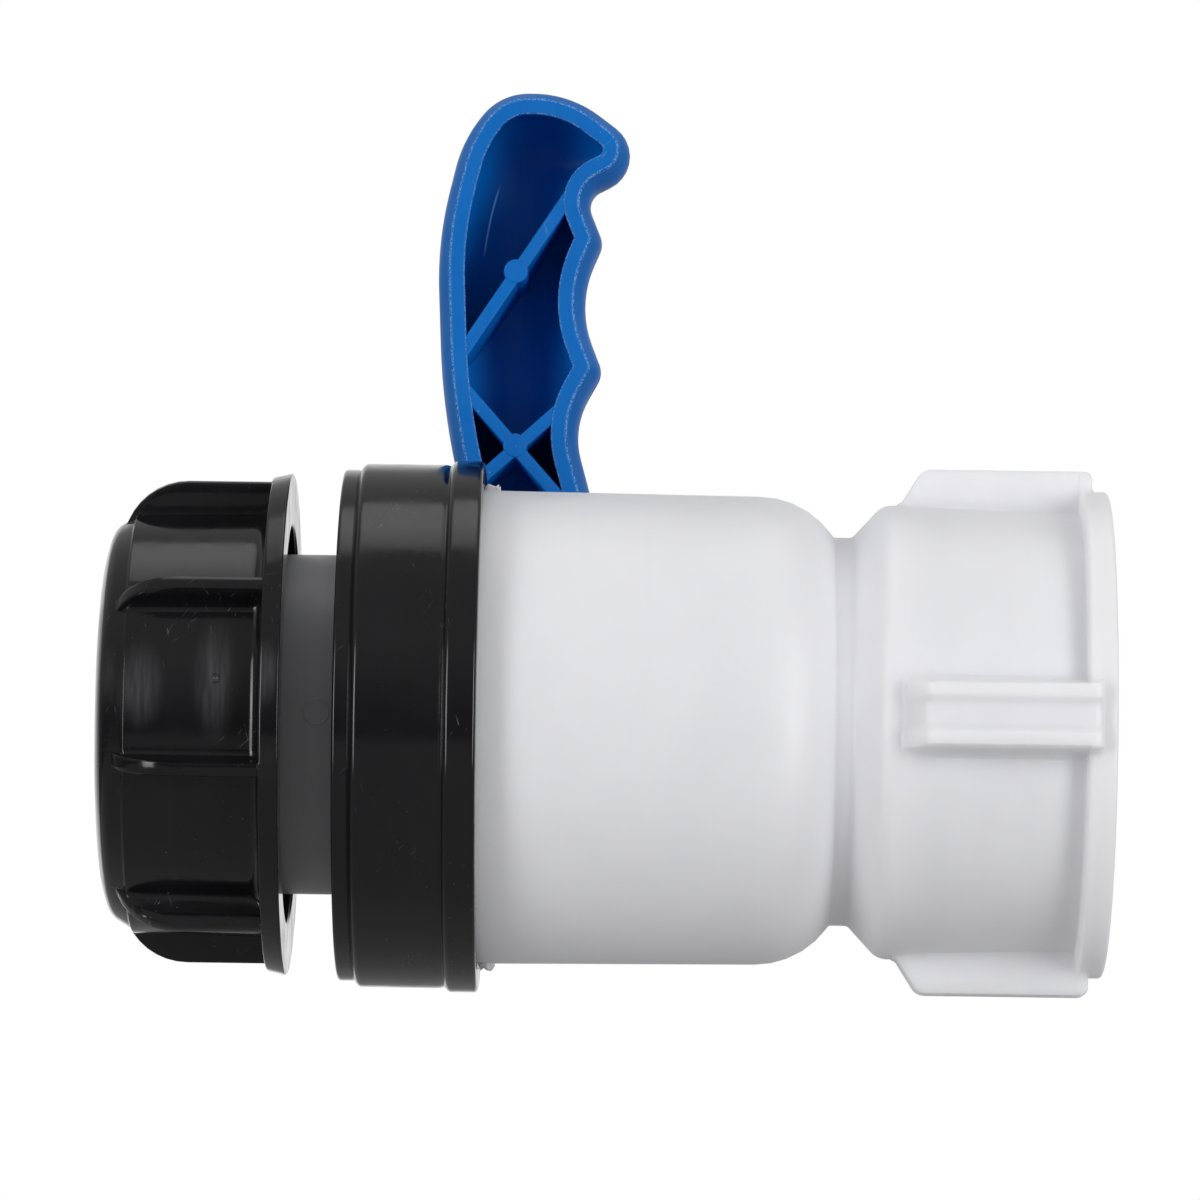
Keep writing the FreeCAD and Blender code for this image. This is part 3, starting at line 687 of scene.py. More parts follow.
COLLAR_BLACK = MouldedPlastic("collar_black", (0.0045, 0.0045, 0.0055), (0.008, 0.008, 0.0092),
                              (0.2, 0.2, 0.21), 0.15, 0.05, grain_depth=0.003, gloss=0.36,
                              ripple_depth=0.012, wear=Wear.DUSTY)
# The handle's line paints a pale highlight where a lamp reflects in the pocket's curved wall.
HANDLE_BLUE = MouldedPlastic("handle_blue", (0.0, 0.138, 0.49), (0.0, 0.115, 0.42),
                             (0.25, 0.48, 0.82), 0.48, grain_depth=0.012, gloss=0.2, streaks=0.4,
                             streak_scale=(420, 160, 16), wear=Wear.SCUFFED, rim_height=LEVER_RIM_Y,
                             chafing=0.6, painted_glint_line=(-96.5, 86.5, 0.2, 0.009, 6.4))
FINISHES = (
    MouldedPlastic("body_white", (0.775, 0.775, 0.80), (0.74, 0.74, 0.765), (0.62, 0.62, 0.63),
                   0.47, wave_depth=0.03, subsurface=0.7, streaks=0.15),
    MouldedPlastic("outlet_grey", (0.37, 0.373, 0.39), (0.315, 0.318, 0.332), (0.4, 0.4, 0.41),
                   0.38, gloss=0.25, wear=Wear.DUSTY),
    COLLAR_BLACK,
    # The cap's four spots paint a pale sheen where a frontal lamp's soft reflection falls on its
    # wall, dome edge and rim; the first also holds a low ring in the relief.
    replace(COLLAR_BLACK, name="cap_black", mark_and_highlight=(0.22, 0.22, 0.23), roughness=0.14,
            grain_depth=0.0035, wave_depth=0.05, ripple_depth=0.02, gate_sheen_spots=(
                (-134.2, -31.8, 4.2, 4.0, 11.0), (-145.5, -31.3, 3.0, 4.5, 8.0),
                (-150.0, -26.0, 4.0, 2.2, 7.0), (-126.2, -38.2, 5.0, 1.8, 6.0))),
    HANDLE_BLUE,
    replace(HANDLE_BLUE, name="rib_blue", chafing=0.0, painted_glint_line=None),
    MouldedPlastic("ball_white", (0.78, 0.77, 0.74), (0.7, 0.69, 0.66), (0.5, 0.5, 0.5), 0.22,
                   grain_depth=0.002),
    MouldedPlastic("seat_white", (0.82, 0.82, 0.8), (0.74, 0.74, 0.73), (0.6, 0.6, 0.6), 0.5,
                   subsurface=0.1),
    MouldedPlastic("stem_black", (0.012, 0.012, 0.013), (0.02, 0.02, 0.022), (0.2, 0.2, 0.2), 0.45),
    Rubber("seal_black", (0.012, 0.012, 0.012)),
    Rubber("gasket_black", (0.015, 0.015, 0.016), 0.7),
    Steel("steel", (0.62, 0.61, 0.6)),
    MouldedPlastic("plug_black", (0.01, 0.01, 0.011), (0.017, 0.017, 0.018), (0.2, 0.2, 0.2), 0.35),
)
MATERIALS = {finish.name: finish.material() for finish in FINISHES}



# Pieces


@dataclass
class ValveBody:
    """White moulding: tank socket with four lugs, waist, ball chamber, stem boss and stops."""

    thread_r: float = 31.0
    relief_r: float = 31.6
    thread_length: float = 24.0
    passage_x: float = -28.0
    rim_r: float = 37.2
    rim_end: float = -4.05
    rim_step: float = 0.45
    socket_r: float = 33.9
    shoulder_x: float = -34.2
    shoulder_r: float = 34.8
    neck_x: float = -38.9
    neck_r: float = 29.7
    dome_x: float = -41.7
    dome_corner_x: float = -46.1
    dome_reach: float = 7.49
    crown_r: float = 35.75
    end_r: float = 36.35
    end_x: float = -109.0
    chamber_r: float = 32.6
    chamber_round: float = 3.4
    pocket_x: float = -49.47
    pocket_r: float = 28.8
    ledge_x: float = -45.97
    ledge_w: float = 3.5
    bore_r: float = 22.5
    passage_r: float = 25.5
    lug_r: float = 40.1
    lug_half: float = 4.95
    lug_start: float = -2.3
    lug_end: float = -28.2
    lug_chamfer: float = 3.4
    lug_round: float = 1.3
    groove_half: float = 2.25
    groove_depth: float = 1.2
    boss_r: float = 14.0
    boss_top: float = 41.55
    stem_bore_r: float = 8.1
    stop_mid_deg: float = 20.2
    stop_deg: float = 16.0
    stop_r: float = 15.75
    stop_width: float = 3.5
    tank_pitch: float = 4.2
    ridge_foot: float = 3.2
    ridge_top: float = 1.0
    bore_low: float = 20.0

    def profile(self, height: float | None) -> np.ndarray:
        """Closed half section, plain or over a lug.

        Args:
            height: Height of the lug's top, or None beside the lugs.

        Returns:
            Points of (axial, radial); each outline has the same number of them.
        """
        lug = height is not None
        rim_edge = self.rim_end - self.rim_step
        wall_x = self.lug_start if lug else self.lug_start - 0.7
        slope_x = self.lug_end - self.lug_chamfer
        top, foot = (height, height) if lug else (self.rim_r, self.socket_r)
        corners = [
            (0.0, self.thread_r, 0.5), (0.0, self.rim_r, 0.6), (self.lug_start, self.rim_r, 0.25),
            (wall_x, top, self.lug_round if lug else 0.3), (self.rim_end, top, 0.5),
            (rim_edge, foot, 0.35),
            (self.lug_end, height if lug else self.socket_r + 0.7, self.lug_round),
            (slope_x, self.socket_r + 0.8, 0.6), (self.shoulder_x, self.shoulder_r, 1.6),
            (self.neck_x, self.neck_r, 0.5), (self.dome_x, self.neck_r, 0.3),
            (self.dome_corner_x, self.crown_r, self.dome_reach), (self.end_x, self.end_r, 0.5),
            (self.end_x, self.chamber_r, 0.4), (self.pocket_x, self.chamber_r, self.chamber_round),
            (self.pocket_x, self.pocket_r, 0.3), (self.ledge_x, self.pocket_r, 0.2),
            (self.ledge_x, self.bore_r, 0.4), (self.ledge_x + self.ledge_w, self.bore_r, 0.4),
            (self.ledge_x + self.ledge_w, self.passage_r, 0.4),
            (self.passage_x, self.passage_r, 0.3),
            (self.passage_x, self.relief_r, 0.3), (-self.thread_length, self.relief_r, 0.3),
            (-self.thread_length, self.thread_r, 0.3)]
        return filleted(np.array(corners), 6, 3)

    def shell(self) -> Skin:
        """Turned skin whose columns climb each lug: over its two rails, between them a groove."""
        groove, side = self.groove_half, self.lug_half
        across = [0, 1.0, groove - 0.7, groove - 0.4, groove - 0.1, groove + 0.2, groove + 0.5,
                  groove + 0.8, side - 0.9, side - 0.45, side - 0.15, side + 0.05, side + 0.3,
                  side + 0.7, side + 1.3]
        rail = [0, 0, 0.02, 0.13, 0.38, 0.72, 0.94, 1, 1, 0.985, 0.9, 0.66, 0.3, 0.08, 0]
        floor = [1, 1, 0.98, 0.87, 0.62, 0.28, 0.06, 0, 0, 0, 0, 0, 0, 0, 0]
        heights = (None, self.lug_r, self.lug_r - self.groove_depth)
        quarter = math.pi / 2
        clear = math.asin(across[-1] / self.socket_r) + math.radians(2.5)
        sector = raised_sector([self.profile(height) for height in heights],
                               [mirrored(rail), mirrored(floor)], mirrored(across, -1.0),
                               self.bore_r, np.linspace(clear, quarter - clear, 25))
        return round_flow(sector, [-quarter * number for number in range(4)])

    def boss(self) -> Skin:
        """Stem boss with a flared foot, sunk into the chamber wall."""
        foot = self.chamber_r - 1.0
        corners = [(foot, 5.0, 0), (self.boss_top, 5.0, 0), (self.boss_top, self.boss_r, 0.6),
                   (self.crown_r + 0.2, self.boss_r, 1.2),
                   (self.chamber_r + 0.3, self.boss_r + 2.4, 0.2),
                   (foot - 3.0, self.boss_r + 0.5, 0)]
        return turned_stem(filleted(np.array(corners), 6, 2))

    def stops(self) -> list[Skin]:
        """The two blocks that the lug under the lever runs between."""
        length = math.radians(self.stop_deg) * self.stop_r
        low = self.chamber_r - 4.0
        block = rounded_box((length, self.stop_width, self.boss_top - low), 0.6)
        height = (self.boss_top + low) / 2
        return [bent_about_stem(block, middle, self.stop_r, height)
                for middle in (180 - self.stop_mid_deg, 270 + self.stop_mid_deg)]

    def nub(self, side: int) -> Skin:
        """Torn sprue stub beside the collar, at the top or the bottom; side is 1 or -1.

        Each corner of a small rounded block is shifted by sums of sines of its own place.
        """
        skin = rounded_box((2.2, 2.4, 1.9), 0.5, 5)
        p = skin.points
        shift = np.stack([np.sin(5.1 * p[:, 1] + 3 * p[:, 2]), np.sin(4.3 * p[:, 2] + 2 * p[:, 0]),
                          np.sin(3.9 * p[:, 0] + 4.0 * p[:, 1])], -1)
        base = Skin(p + 0.32 * shift, skin.quads, skin.caps)
        return base.moved(Matrix.Translation((-94.0, 0.0, side * (self.end_r - 0.25))))

    def build(self) -> None:
        """Builds the body and its tank thread."""
        body = mesh_object("valve_body_moulding", [self.shell()])
        cut_or_joined(body, [self.boss(), *self.stops(), self.nub(1), self.nub(-1)], "UNION")
        low, high = self.bore_low, self.boss_top + 5
        bore = filleted(np.array([(low, 0, 0), (high, 0, 0), (high, self.stem_bore_r, 0),
                                  (low, self.stem_bore_r, 0)]), 2, 2)
        cut_or_joined(body, [turned_stem(bore)], "DIFFERENCE")
        dressed(body, "body_white", Body.VALVE, ("valve_body",))
        thread = helical_ridge(1.5 - self.thread_length, -2.0, self.tank_pitch, self.thread_r + 0.4,
                               self.thread_r - 1.5, self.ridge_foot, self.ridge_top)
        dressed(mesh_object("tank_thread", [thread]), "body_white", Body.VALVE)


@dataclass
class Outlet:
    """Grey outlet spigot with its thread, and the black collar that clamps it."""

    nose_x: float = -94.5
    seal_x: float = -101.5
    seal_w: float = 3.1
    seal_d: float = 2.5
    nose_r: float = 32.3
    seat_r: float = 28.8
    seat_back_x: float = -98.0
    bore_r: float = 22.5
    body_end_x: float = -109.0
    flange_x: float = -113.6
    flange_r: float = 35.6
    tube_r: float = 26.0
    tube_end_x: float = -147.0
    thread_r: float = 29.8
    pitch: float = 6.0
    collar_face_x: float = -116.6
    collar_end_x: float = -95.2
    collar_nose_r: float = 39.1
    collar_nose_w: float = 2.9
    collar_r: float = 40.05
    collar_edge_r: float = 40.65
    collar_edge_w: float = 4.4
    collar_bore_r: float = 36.65
    lip_bore_r: float = 26.4
    gate_x: float = -119.4
    gate_r: float = 2.1
    ridge_foot: float = 4.4
    ridge_top: float = 1.3

    def spigot(self) -> Skin:
        """Turned skin of the spigot, its clamped flange and the nose in the chamber."""
        seal_end = self.seal_x - self.seal_w
        corners = [
            (self.nose_x, self.seat_r, 0.2), (self.nose_x, self.nose_r, 0.5),
            (self.seal_x, self.nose_r, 0.2), (self.seal_x, self.nose_r - self.seal_d, 0.2),
            (seal_end, self.nose_r - self.seal_d, 0.2),
            (seal_end, self.nose_r, 0.2), (self.body_end_x, self.nose_r, 0.2),
            (self.body_end_x, self.flange_r, 0.3), (self.flange_x, self.flange_r, 0.4),
            (self.flange_x, self.tube_r, 0.6), (self.tube_end_x, self.tube_r, 0.8),
            (self.tube_end_x, self.bore_r, 0.6), (self.seat_back_x, self.bore_r, 0.3),
            (self.seat_back_x, self.seat_r, 0.2)]
        return turned_flow(filleted(np.array(corners), 6, 3))

    def collar(self) -> Skin:
        """Turned skin of the collar with its stepped bands and a fine groove beside each step."""
        nose_end = self.collar_face_x + self.collar_nose_w
        edge = self.collar_end_x - self.collar_edge_w
        corners = [
            (self.collar_face_x, self.lip_bore_r, 0.3),
            (self.collar_face_x, self.collar_nose_r, 0.55),
            (nose_end - 0.55, self.collar_nose_r, 0.12),
            (nose_end - 0.4, self.collar_nose_r - 0.12, 0.08),
            (nose_end + 0.35, self.collar_r, 0.5), (edge - 1.35, self.collar_r, 0.35),
            (edge - 0.85, self.collar_r - 0.16, 0.12), (edge - 0.65, self.collar_r - 0.16, 0.1),
            (edge, self.collar_edge_r, 0.45), (self.collar_end_x, self.collar_edge_r, 0.6),
            (self.collar_end_x, self.collar_bore_r, 0.4),
            (self.flange_x, self.collar_bore_r, 0.3), (self.flange_x, self.lip_bore_r, 0.2)]
        return turned_flow(filleted(np.array(corners), 6, 3), 224)

    def gate_mark(self) -> Skin:
        """Low ring where the spigot was injected, facing the viewer."""
        top = self.tube_r + 0.07
        corners = [(top - 0.8, 0, 0), (top - 0.03, 0, 0), (top - 0.06, self.gate_r * 0.78, 0.2),
                   (top + 0.04, self.gate_r * 0.9, 0.06), (top - 0.12, self.gate_r, 0.05),
                   (top - 0.8, self.gate_r, 0)]
        skin = turned_flow(filleted(np.array(corners), 4, 1), 48)
        place = Matrix.Translation((self.gate_x, 0, 0))
        return skin.moved(place @ Matrix.Rotation(-math.pi / 2, 4, "Z"))

    def build(self) -> None:
        """Builds the spigot, its thread and the collar."""
        thread = helical_ridge(self.tube_end_x + 1.5, self.tube_end_x + 20.0, self.pitch,
                               self.tube_r - 0.4, self.thread_r, self.ridge_foot, self.ridge_top)
        for name, skin, slot, nodes in (
                ("outlet_spigot", self.spigot(), "outlet_grey", ("outlet_adapter",)),
                ("outlet_gate_mark", self.gate_mark(), "outlet_grey", ()),
                ("outlet_thread", thread, "outlet_grey", ()),
                ("collar_ring", self.collar(), "collar_black", ("locking_collar",))):
            dressed(mesh_object(name, [skin]), slot, Body.VALVE, nodes)


@dataclass
class DustCap:
    """Black screw cap: broad rim, eight grips that run into a domed end, and its thread."""

    rim_x: float = -124.5
    rim_r: float = 38.45
    rim_back_r: float = 37.75
    rim_w: float = 3.0
    wall_r: float = 32.65
    end_x: float = -152.79
    face_r: float = 25.6
    dome_depth: float = 1.5
    dome_r: float = 29.8
    step_depth: float = 4.5
    step_r: float = 31.6
    step_rise: float = 0.7
    bore_r: float = 30.5
    floor_x: float = -149.3
    grip_r: float = 37.5
    grip_half: float = 1.15
    grip_bend: float = 6.1
    grip_reach: float = 7.6
    grip_foot: tuple[float, float] = (3.2, 30.82)
    grip_count: int = 8
    grip_deg: float = 30.0
    thread_root: float = 30.8
    thread_crest: float = 26.9
    pitch: float = 6.0
    ridge_foot: float = 4.0
    ridge_top: float = 1.1
    ridge_start: float = math.pi * 0.8

    def profile(self, grip: bool) -> np.ndarray:
        """Closed half section beside the grips or along the crest of one."""
        rim_back = self.rim_x - self.rim_w
        if grip:
            depth, radius = self.grip_foot
            outer = [(self.end_x + depth, radius, 0.4),
                     (self.end_x + self.grip_bend, self.grip_r, self.grip_reach),
                     (rim_back, self.grip_r, 0.15)]
        else:
            step_x = self.end_x + self.step_depth
            outer = [(step_x, self.step_r, 0.06), (step_x + 0.3, self.step_r + self.step_rise, 0.2),
                     (rim_back, self.wall_r, 2.0)]
        corners = [
            (self.floor_x, 0.0, 0), (self.end_x, 0.0, 0), (self.end_x, self.face_r, 3.2),
            (self.end_x + self.dome_depth, self.dome_r, 1.3), *outer,
            (rim_back, self.rim_back_r, 0.35), (self.rim_x, self.rim_r, 0.35),
            (self.rim_x, self.bore_r, 0.4), (self.floor_x, self.bore_r, 0.5)]
        return filleted(np.array(corners), 8, 4)

    def shell(self) -> Skin:
        """Turned skin whose columns climb the grips, as on the socket's lugs."""
        shares = (0, 0.45, 0.8, 0.95, 1.0, 1.06, 1.2, 1.5, 1.9)
        across = [share * self.grip_half for share in shares]
        crest = [1, 0.995, 0.97, 0.88, 0.5, 0.16, 0.05, 0.012, 0.0]
        part, first = math.tau / self.grip_count, math.pi / 2 - math.radians(self.grip_deg)
        clear = math.asin(across[-1] / self.wall_r) + math.radians(1.5)
        sector = raised_sector([self.profile(False), self.profile(True)], [mirrored(crest)],
                               mirrored(across, -1.0), self.dome_r,
                               np.linspace(clear, part - clear, 20))
        return round_flow(sector, [first - part * number for number in range(self.grip_count)])

    def build(self) -> None:
        """Builds the cap and its inner thread."""
        thread = helical_ridge(self.rim_x - 19.5, self.rim_x - 2.5, self.pitch, self.thread_root,
                               self.thread_crest, self.ridge_foot, self.ridge_top, self.ridge_start)
        dressed(mesh_object("cap_shell", [self.shell()]), "cap_black", Body.CAP, ("dust_cap",))
        dressed(mesh_object("cap_thread", [thread]), "cap_black", Body.CAP)


@dataclass
class Lever:
    """Blue hollow grip with finger grooves, its ribs, hub and stop lug.

    Outline corners are (along the flow, up, radius) from the stem, clockwise from lower left.
    """

    rim_y: float = LEVER_RIM_Y
    depth: float = HUB_DEPTH
    wall: float = 2.5
    rim_inset: float = 2.05
    bowl_y: float = 9.0
    bowl_inset: float = 3.4
    bowl_rows: int = 16
    bowl_deg: float = 80.0
    foot_z: float = -5.0
    pocket_z: float = 22.0
    palm_foot: tuple[float, float] = (-17.3, -5.0)
    palm: tuple[float, float] = (-32.2, 54.0)
    palm_r: float = 110.0
    web: tuple[float, float] = (-7.1, 38.0)
    web_r: float = 16.0
    web_foot: tuple[float, float] = (14.8, -5.0)
    hub_r: float = 18.5
    counterbore_r: float = 8.5
    counterbore_y: float = 14.5
    square_w: float = 11.3
    hub_web: float = 2.75
    hub_proud: float = 0.02
    screw_hole_r: float = 3.3
    hub_seat_r: float = 15.5
    trim: float = 0.8
    lean: float = 0.6
    rib_w: float = 2.1
    rib_recess: float = 0.25
    pin_r: float = 1.95
    stop_deg: float = 22.0
    stop_r: float = 16.05
    stop_width: float = 2.9
    stop_height: float = 3.6
    tip: np.ndarray = field(default_factory=lambda: np.array([
        (-33.5, 82.2, 58.0), (-29.7, 98.5, 22.0), (-23.8, 106.1, 9.8), (-12.4, 106.5, 18.0),
        (2.6, 95.3, 5.6), (-9.4, 89.2, 3.0), (-6.4, 81.8, 3.5), (-10.6, 72.0, 17.0),
        (-6.2, 60.8, 3.5), (-11.0, 52.1, 13.0)]))
    spine: np.ndarray = field(default_factory=lambda: np.array([
        (-8.0, 30.0), (-19.5, 50.0), (-21.0, 75.0), (-19.0, 95.0)]))
    ribs: tuple[tuple[float, float, float, float], ...] = (
        (-29.5, 62.2, -11.0, 90.4), (-29.5, 58.5, -12.5, 39.4), (-11.6, 55.7, -29.0, 39.8))
    pins: tuple[tuple[float, float], ...] = ((-20.5, 76.35), (-20.2, 48.3))

    def outline(self, base: float, inward: float) -> np.ndarray:
        """Grip outline cut off at a height and moved inward, its corners kept round.

        Each corner moves along the sum of its sides' normals over 1 + their product; an outer
        corner's radius shrinks by the distance and an inner one's grows.

        Args:
            base: Height of its lower end.
            inward: Distance moved inward.

        Returns:
            Points of (along the flow, up) from the stem.
        """
        slope = (self.palm[0] - self.palm_foot[0]) / (self.palm[1] - self.palm_foot[1])
        left = self.palm_foot[0] + slope * (base - self.palm_foot[1])
        share = (base - self.web_foot[1]) / (self.web[1] - self.web_foot[1])
        right = self.web_foot[0] + (self.web[0] - self.web_foot[0]) * share
        corners = np.vstack([(left, base, 1.0), (*self.palm, self.palm_r), self.tip,
                             (*self.web, self.web_r), (right, base, 1.0)])
        place = corners[:, :2]
        d1, d2 = place - np.roll(place, 1, 0), np.roll(place, -1, 0) - place
        n1, n2 = (np.stack([d[:, 1], -d[:, 0]], 1) / np.linalg.norm(d, axis=1, keepdims=True)
                  for d in (d1, d2))
        place = place + (n1 + n2) / (1 + (n1 * n2).sum(1, keepdims=True)) * inward
        outer = d1[:, 0] * d2[:, 1] - d1[:, 1] * d2[:, 0] < 0
        radius = np.where(outer, np.maximum(corners[:, 2] - inward, 0.4), corners[:, 2] + inward)
        cosine = -(d1 * d2).sum(1) / np.linalg.norm(d1, axis=1) / np.linalg.norm(d2, axis=1)
        reach = radius / np.tan(np.arccos(np.clip(cosine, -1, 1)) / 2)
        return filleted(np.column_stack([place, reach]), 10, 3)

    def outside(self, inward: float) -> list[tuple[float, np.ndarray]]:
        """Heights and outlines of the outer skin from the back to the rim, moved inward."""
        back = self.rim_y + self.depth - self.hub_proud
        path = filleted(np.array([
            (back, 5.2, 0), (back, 4.0, 0.8), (self.rim_y + 15, 0.88, 2.2),
            (self.rim_y + 8, 0.0, 2.5), (self.rim_y + 4, 0.55, 1.6),
            (self.rim_y, self.rim_inset, 0.45),
            (self.rim_y, self.rim_inset + 1.2, 0)]), 6, 2, closed=False)
        return [(y, self.outline(self.foot_z, d + inward)) for y, d in path]

    def stacked(self, rows: list[tuple[float, np.ndarray]], shift: float) -> Skin:
        """Skin through outlines at their heights, shifted along the flow, with flat ends."""
        points = np.stack([
            np.column_stack([STEM_X + shift + uv[:, 0], np.full(len(uv), y), uv[:, 1]])
            for y, uv in rows])
        return grid_skin(points, close_rows=False, cap_ends=True)

    def grip(self) -> Skin:
        """Skin of the grip: back, rounded side, rim, inner wall and the pocket's bowl.

        Every row is the outline at one height along the stem and one distance inward. In the
        bowl it stays at one inset and goes a share 1 - cos t of the way to the pocket's spine
        while its height gains the bowl's depth times sin t.

        Returns:
            The closed skin.
        """
        floor = self.rim_y + self.depth - self.wall
        inner = filleted(np.array([
            (self.rim_y, self.rim_inset + 1.3, 0), (self.rim_y, self.rim_inset + self.wall, 0.4),
            (self.bowl_y + self.rim_y, self.bowl_inset, 0)]), 6, 2, closed=False)
        rows = self.outside(0.0)
        rows += [(y, self.outline(self.pocket_z, d)) for y, d in inner]
        brink = self.outline(self.pocket_z, self.bowl_inset)
        height = np.clip(brink[:, 1], self.spine[0, 1], self.spine[-1, 1])
        middle = np.column_stack([np.interp(height, self.spine[:, 1], self.spine[:, 0]), height])
        for t in np.linspace(0, math.radians(self.bowl_deg), self.bowl_rows)[1:]:
            deep = self.rim_y + self.bowl_y + (floor - self.rim_y - self.bowl_y) * math.sin(t)
            rows.append((deep, brink + (middle - brink) * (1 - math.cos(t))))
        return self.stacked(rows, self.lean)

    def rib(self, u0: float, v0: float, u1: float, v1: float) -> Skin:
        """Stiffening web between two points of the side view, with round edges."""
        length, turn = math.hypot(u1 - u0, v1 - v0), math.atan2(v1 - v0, u1 - u0)
        y0, y1 = self.rim_y + self.rib_recess, self.rim_y + self.depth - self.wall / 2
        box = rounded_box((length, self.rib_w, y1 - y0), 0.3)
        stand = Matrix.Rotation(math.pi / 2, 4, "X")
        middle = (STEM_X + self.lean + (u0 + u1) / 2, (y0 + y1) / 2, (v0 + v1) / 2)
        place = Matrix.Translation(middle)
        return box.moved(place @ Matrix.Rotation(-turn, 4, "Y") @ stand)

    def pin(self, u: float, v: float) -> Skin:
        """Round boss where ribs meet."""
        y0, y1 = self.rim_y + self.rib_recess / 2, self.rim_y + self.depth - self.wall / 2
        corners = [(y0, 0, 0), (y0, self.pin_r, 0.3), (y1, self.pin_r, 0), (y1, 0, 0)]
        skin = turned_stem(filleted(np.array(corners), 5, 2), 48)
        return skin.moved(Matrix.Translation((self.lean + u, 0, v)))

    def hub(self) -> Skin:
        """Turned hub with the counterbore for the plug."""
        back, step = self.rim_y + self.depth, self.rim_y + self.counterbore_y
        low = self.rim_y + self.hub_proud
        corners = [(low, 0, 0), (low, self.hub_r, 0.5), (back, self.hub_r, 2.2),
                   (back, self.counterbore_r, 0.3), (step, self.counterbore_r, 0.2), (step, 0, 0)]
        return turned_stem(filleted(np.array(corners), 7, 3))

    def bore(self, radius: float, low: float, high: float) -> Skin:
        """Cylinder about the stem between two heights over the rim, to be cut away."""
        angle = np.linspace(0, math.tau, 96, endpoint=False)
        ring = np.stack([radius * np.cos(angle), radius * np.sin(angle)], 1)
        return self.stacked([(self.rim_y + low, ring), (self.rim_y + high, ring)], 0.0)

    def socket(self) -> Skin:
        """Square socket that sits on the stem, to be cut away."""
        tall = self.counterbore_y - self.hub_web + 1.0
        box = rounded_box((self.square_w, tall, self.square_w), 0.3)
        return box.moved(Matrix.Translation((STEM_X, self.rim_y - 1.0 + tall / 2, 0)))

    def stop_lug(self) -> Skin:
        """Lug under the hub that meets the stop blocks of the body."""
        length = math.radians(self.stop_deg) * self.stop_r
        tall = self.stop_height + 1.5
        box = rounded_box((length, self.stop_width, tall), 0.4)
        return bent_about_stem(box, 180, self.stop_r, self.rim_y - self.stop_height + tall / 2)

    def build(self) -> None:
        """Builds the grip, its ribs, hub and stop lug."""
        grip = mesh_object("lever_grip", [self.grip()])
        cut_or_joined(grip, [self.bore(self.hub_seat_r, -1.0, self.depth + 1.0)], "DIFFERENCE")
        dressed(grip, "handle_blue", Body.LEVER, ("handle",))
        webs = [self.rib(*line) for line in self.ribs] + [self.pin(*spot) for spot in self.pins]
        ribs = mesh_object("lever_ribs", webs[:1])
        cut_or_joined(ribs, webs[1:], "UNION")
        cut_or_joined(ribs, [self.stacked(self.outside(self.trim), self.lean)], "INTERSECT")
        dressed(ribs, "handle_blue", Body.LEVER, finish="rib_blue")
        hub = mesh_object("lever_hub", [self.hub()])
        screw_hole = self.bore(self.screw_hole_r, 1.0, self.depth + 1.0)
        cut_or_joined(hub, [screw_hole, self.socket()], "DIFFERENCE")
        dressed(hub, "handle_blue", Body.LEVER)
        dressed(mesh_object("lever_stop_lug", [self.stop_lug()]), "handle_blue", Body.LEVER)


@dataclass(frozen=True)
class Inside:
    """A piece kept in its CAD shape, smoothly shaded."""

    node: str
    slot: str
    body: Body

    def build(self) -> None:
        """Copies the CAD mesh and dresses it."""
        dressed(node_copy(self.node), self.slot, self.body, (self.node,))


INSIDES = (
    Inside("tank_gasket", "gasket_black", Body.VALVE),
    Inside("tank_seat_ring", "seat_white", Body.VALVE),
    Inside("tank_seat_o_ring", "seal_black", Body.VALVE),
    Inside("outlet_seat_ring", "seat_white", Body.VALVE),
    Inside("outlet_seat_o_ring", "seal_black", Body.VALVE),
    Inside("adapter_o_ring", "seal_black", Body.VALVE),
    Inside("stem_thrust_washer", "seat_white", Body.VALVE),
    Inside("ball", "ball_white", Body.LEVER),
    Inside("stem", "stem_black", Body.LEVER),
    Inside("stem_lower_o_ring", "seal_black", Body.LEVER),
    Inside("stem_upper_o_ring", "seal_black", Body.LEVER),
    Inside("handle_washer", "steel", Body.LEVER),
    Inside("handle_screw", "steel", Body.LEVER),
    Inside("handle_plug", "plug_black", Body.LEVER),
    Inside("cap_gasket", "gasket_black", Body.CAP_SEAL),
)


# Studio


@dataclass
class Softbox:
    """Rectangular area lamp aimed at a point, with a limited spread so that it spares the floor."""

    name: str
    place: Triple
    target: Triple
    width: float
    height: float
    watts: float
    spread_deg: float = 70.0

    def build(self) -> None:
        """Adds the lamp."""
        lamp = bpy.data.lights.new(self.name, "AREA")
        lamp.shape, lamp.energy = "RECTANGLE", self.watts
        lamp.size, lamp.size_y = self.width, self.height
        lamp.spread = math.radians(self.spread_deg)
        holder = bpy.data.objects.new(self.name, lamp)
        holder.location = self.place
        aim = Vector(self.target) - Vector(self.place)
        holder.rotation_euler = aim.to_track_quat("-Z", "Y").to_euler()
        holder.visible_camera = False
        bpy.context.scene.collection.objects.link(holder)


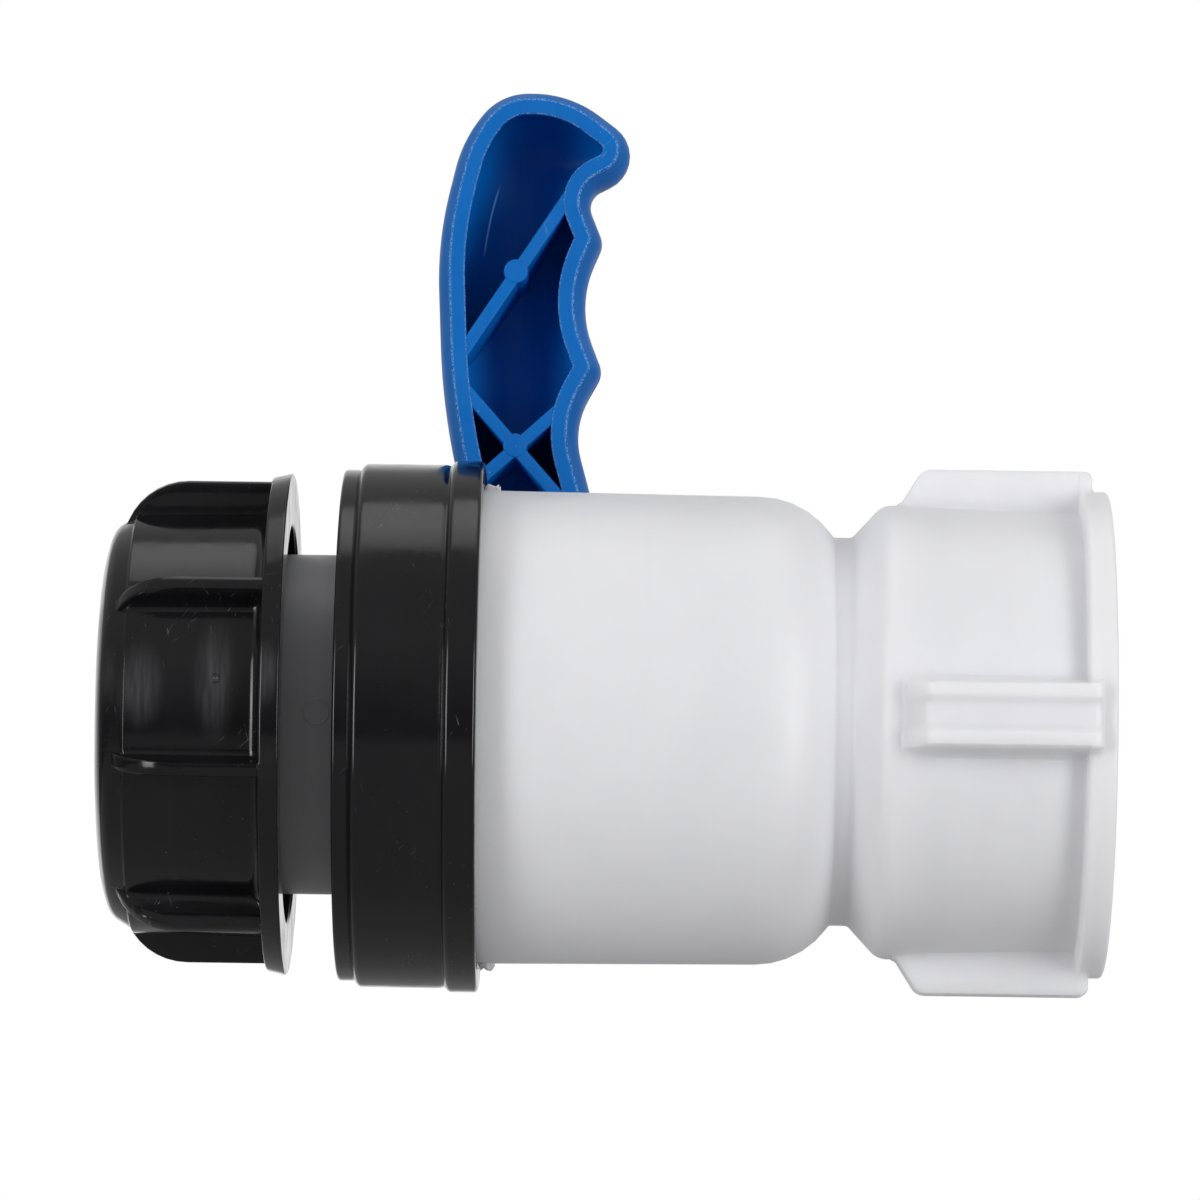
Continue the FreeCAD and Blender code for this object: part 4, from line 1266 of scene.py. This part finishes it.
@dataclass
class Studio:
    """Pale floor far below, white backdrop, soft lamps and the photograph's camera."""

    floor_z: float = -1.1
    floor_size: float = 12.0
    floor_colour: Triple = (0.8, 0.8, 0.8)
    low_level: float = 0.08
    high_level: float = 0.42
    room_z: tuple[float, float] = (-0.2, 0.6)
    backdrop_level: float = 0.7
    backdrop_y: tuple[float, float] = (0.8, 0.95)
    eye: Triple = (-0.0690, -1.1140, -0.0836)
    target: Triple = (-0.07735, -0.00181, 0.01959)
    roll_deg: float = 0.82
    lens: float = 218.75
    lamps: tuple[Softbox, ...] = (
        Softbox("top_softbox", (-0.07, 0.05, 0.9), (-0.07, 0.0, 0.0), 0.9, 0.5, 0.32),
        Softbox("right_softbox", (0.70, -0.76, 0.09), (-0.05, 0.0, 0.0), 0.35, 0.85, 1.3),
        Softbox("left_softbox", (-0.88, -0.72, 0.08), (-0.1, 0.0, 0.0), 0.35, 0.85, 1.15),
    )

    def floor(self) -> None:
        """Adds the plain pale floor."""
        half = self.floor_size / 2
        mesh = bpy.data.meshes.new("floor")
        corners = [(-half, -half), (half, -half), (half, half), (-half, half)]
        mesh.from_pydata([(x, y, self.floor_z) for x, y in corners], [], [(0, 1, 2, 3)])
        floor = bpy.data.objects.new("floor", mesh)
        bpy.context.scene.collection.objects.link(floor)
        finish = {"Base Color": (*self.floor_colour, 1), "Roughness": 0.8}
        mesh.materials.append(Bench("floor_pale").finish(finish))

    def surroundings(self) -> None:
        """World: white for the camera, and for other rays a white backdrop in a dim room.

        A ray's strength is the room's, which grows from low_level below to high_level above,
        and inside a cone about +Y that of the backdrop, which mirrors and glass see as white.
        """
        world = bpy.data.worlds.new("studio")
        bpy.context.scene.world = world
        world.use_nodes = True
        nodes = Nodes(world.node_tree)
        background = next(n for n in nodes.tree.nodes if n.type == "BACKGROUND").inputs
        background["Color"].default_value = (1, 1, 1, 1)
        direction = nodes.add("TexCoord", {}).outputs["Generated"]
        parts = nodes.add("SeparateXYZ", {0: direction}).outputs
        path = nodes.add("LightPath", {}).outputs
        room = nodes.ramp(parts["Z"], *self.room_z, self.low_level, self.high_level)
        mirrored = nodes.maths("MAXIMUM", path["Is Glossy Ray"], path["Is Transmission Ray"])
        backdrop = nodes.mix(mirrored, self.backdrop_level, 1.0)
        level = nodes.mix(nodes.ramp(parts["Y"], *self.backdrop_y), room, backdrop)
        nodes.put(background["Strength"], nodes.mix(path["Is Camera Ray"], level, 1.0))

    def camera(self) -> None:
        """Adds the camera: aimed, then rolled so that the picture leans clockwise."""
        eye, target = Vector(self.eye), Vector(self.target)
        ahead = (target - eye).normalized()
        right = ahead.cross(Vector((0, 0, 1))).normalized()
        up = right.cross(ahead)
        cos, sin = math.cos(math.radians(self.roll_deg)), math.sin(math.radians(self.roll_deg))
        right, up = right * cos + up * sin, up * cos - right * sin
        data = bpy.data.cameras.new("photo_camera")
        data.lens, data.sensor_width, data.clip_end = self.lens, 36.0, 50.0
        camera = bpy.data.objects.new("photo_camera", data)
        turn = Matrix((right, up, -ahead)).transposed().to_4x4()
        camera.matrix_world = Matrix.Translation(eye) @ turn
        bpy.context.scene.collection.objects.link(camera)
        bpy.context.scene.camera = camera

    def build(self) -> None:
        """Sets up floor, world, lamps, camera and colour."""
        self.floor()
        self.surroundings()
        for lamp in self.lamps:
            lamp.build()
        self.camera()
        bpy.context.scene.view_settings.view_transform = "Standard"


def main() -> None:
    """Builds every sub-assembly, then the studio."""
    logging.basicConfig(level=logging.INFO, format="%(message)s")
    for part in (ValveBody(), Outlet(), DustCap(), Lever(), *INSIDES, Studio()):
        part.build()
        LOG.info("%s done", type(part).__name__)


if __name__ == "__main__":
    main()
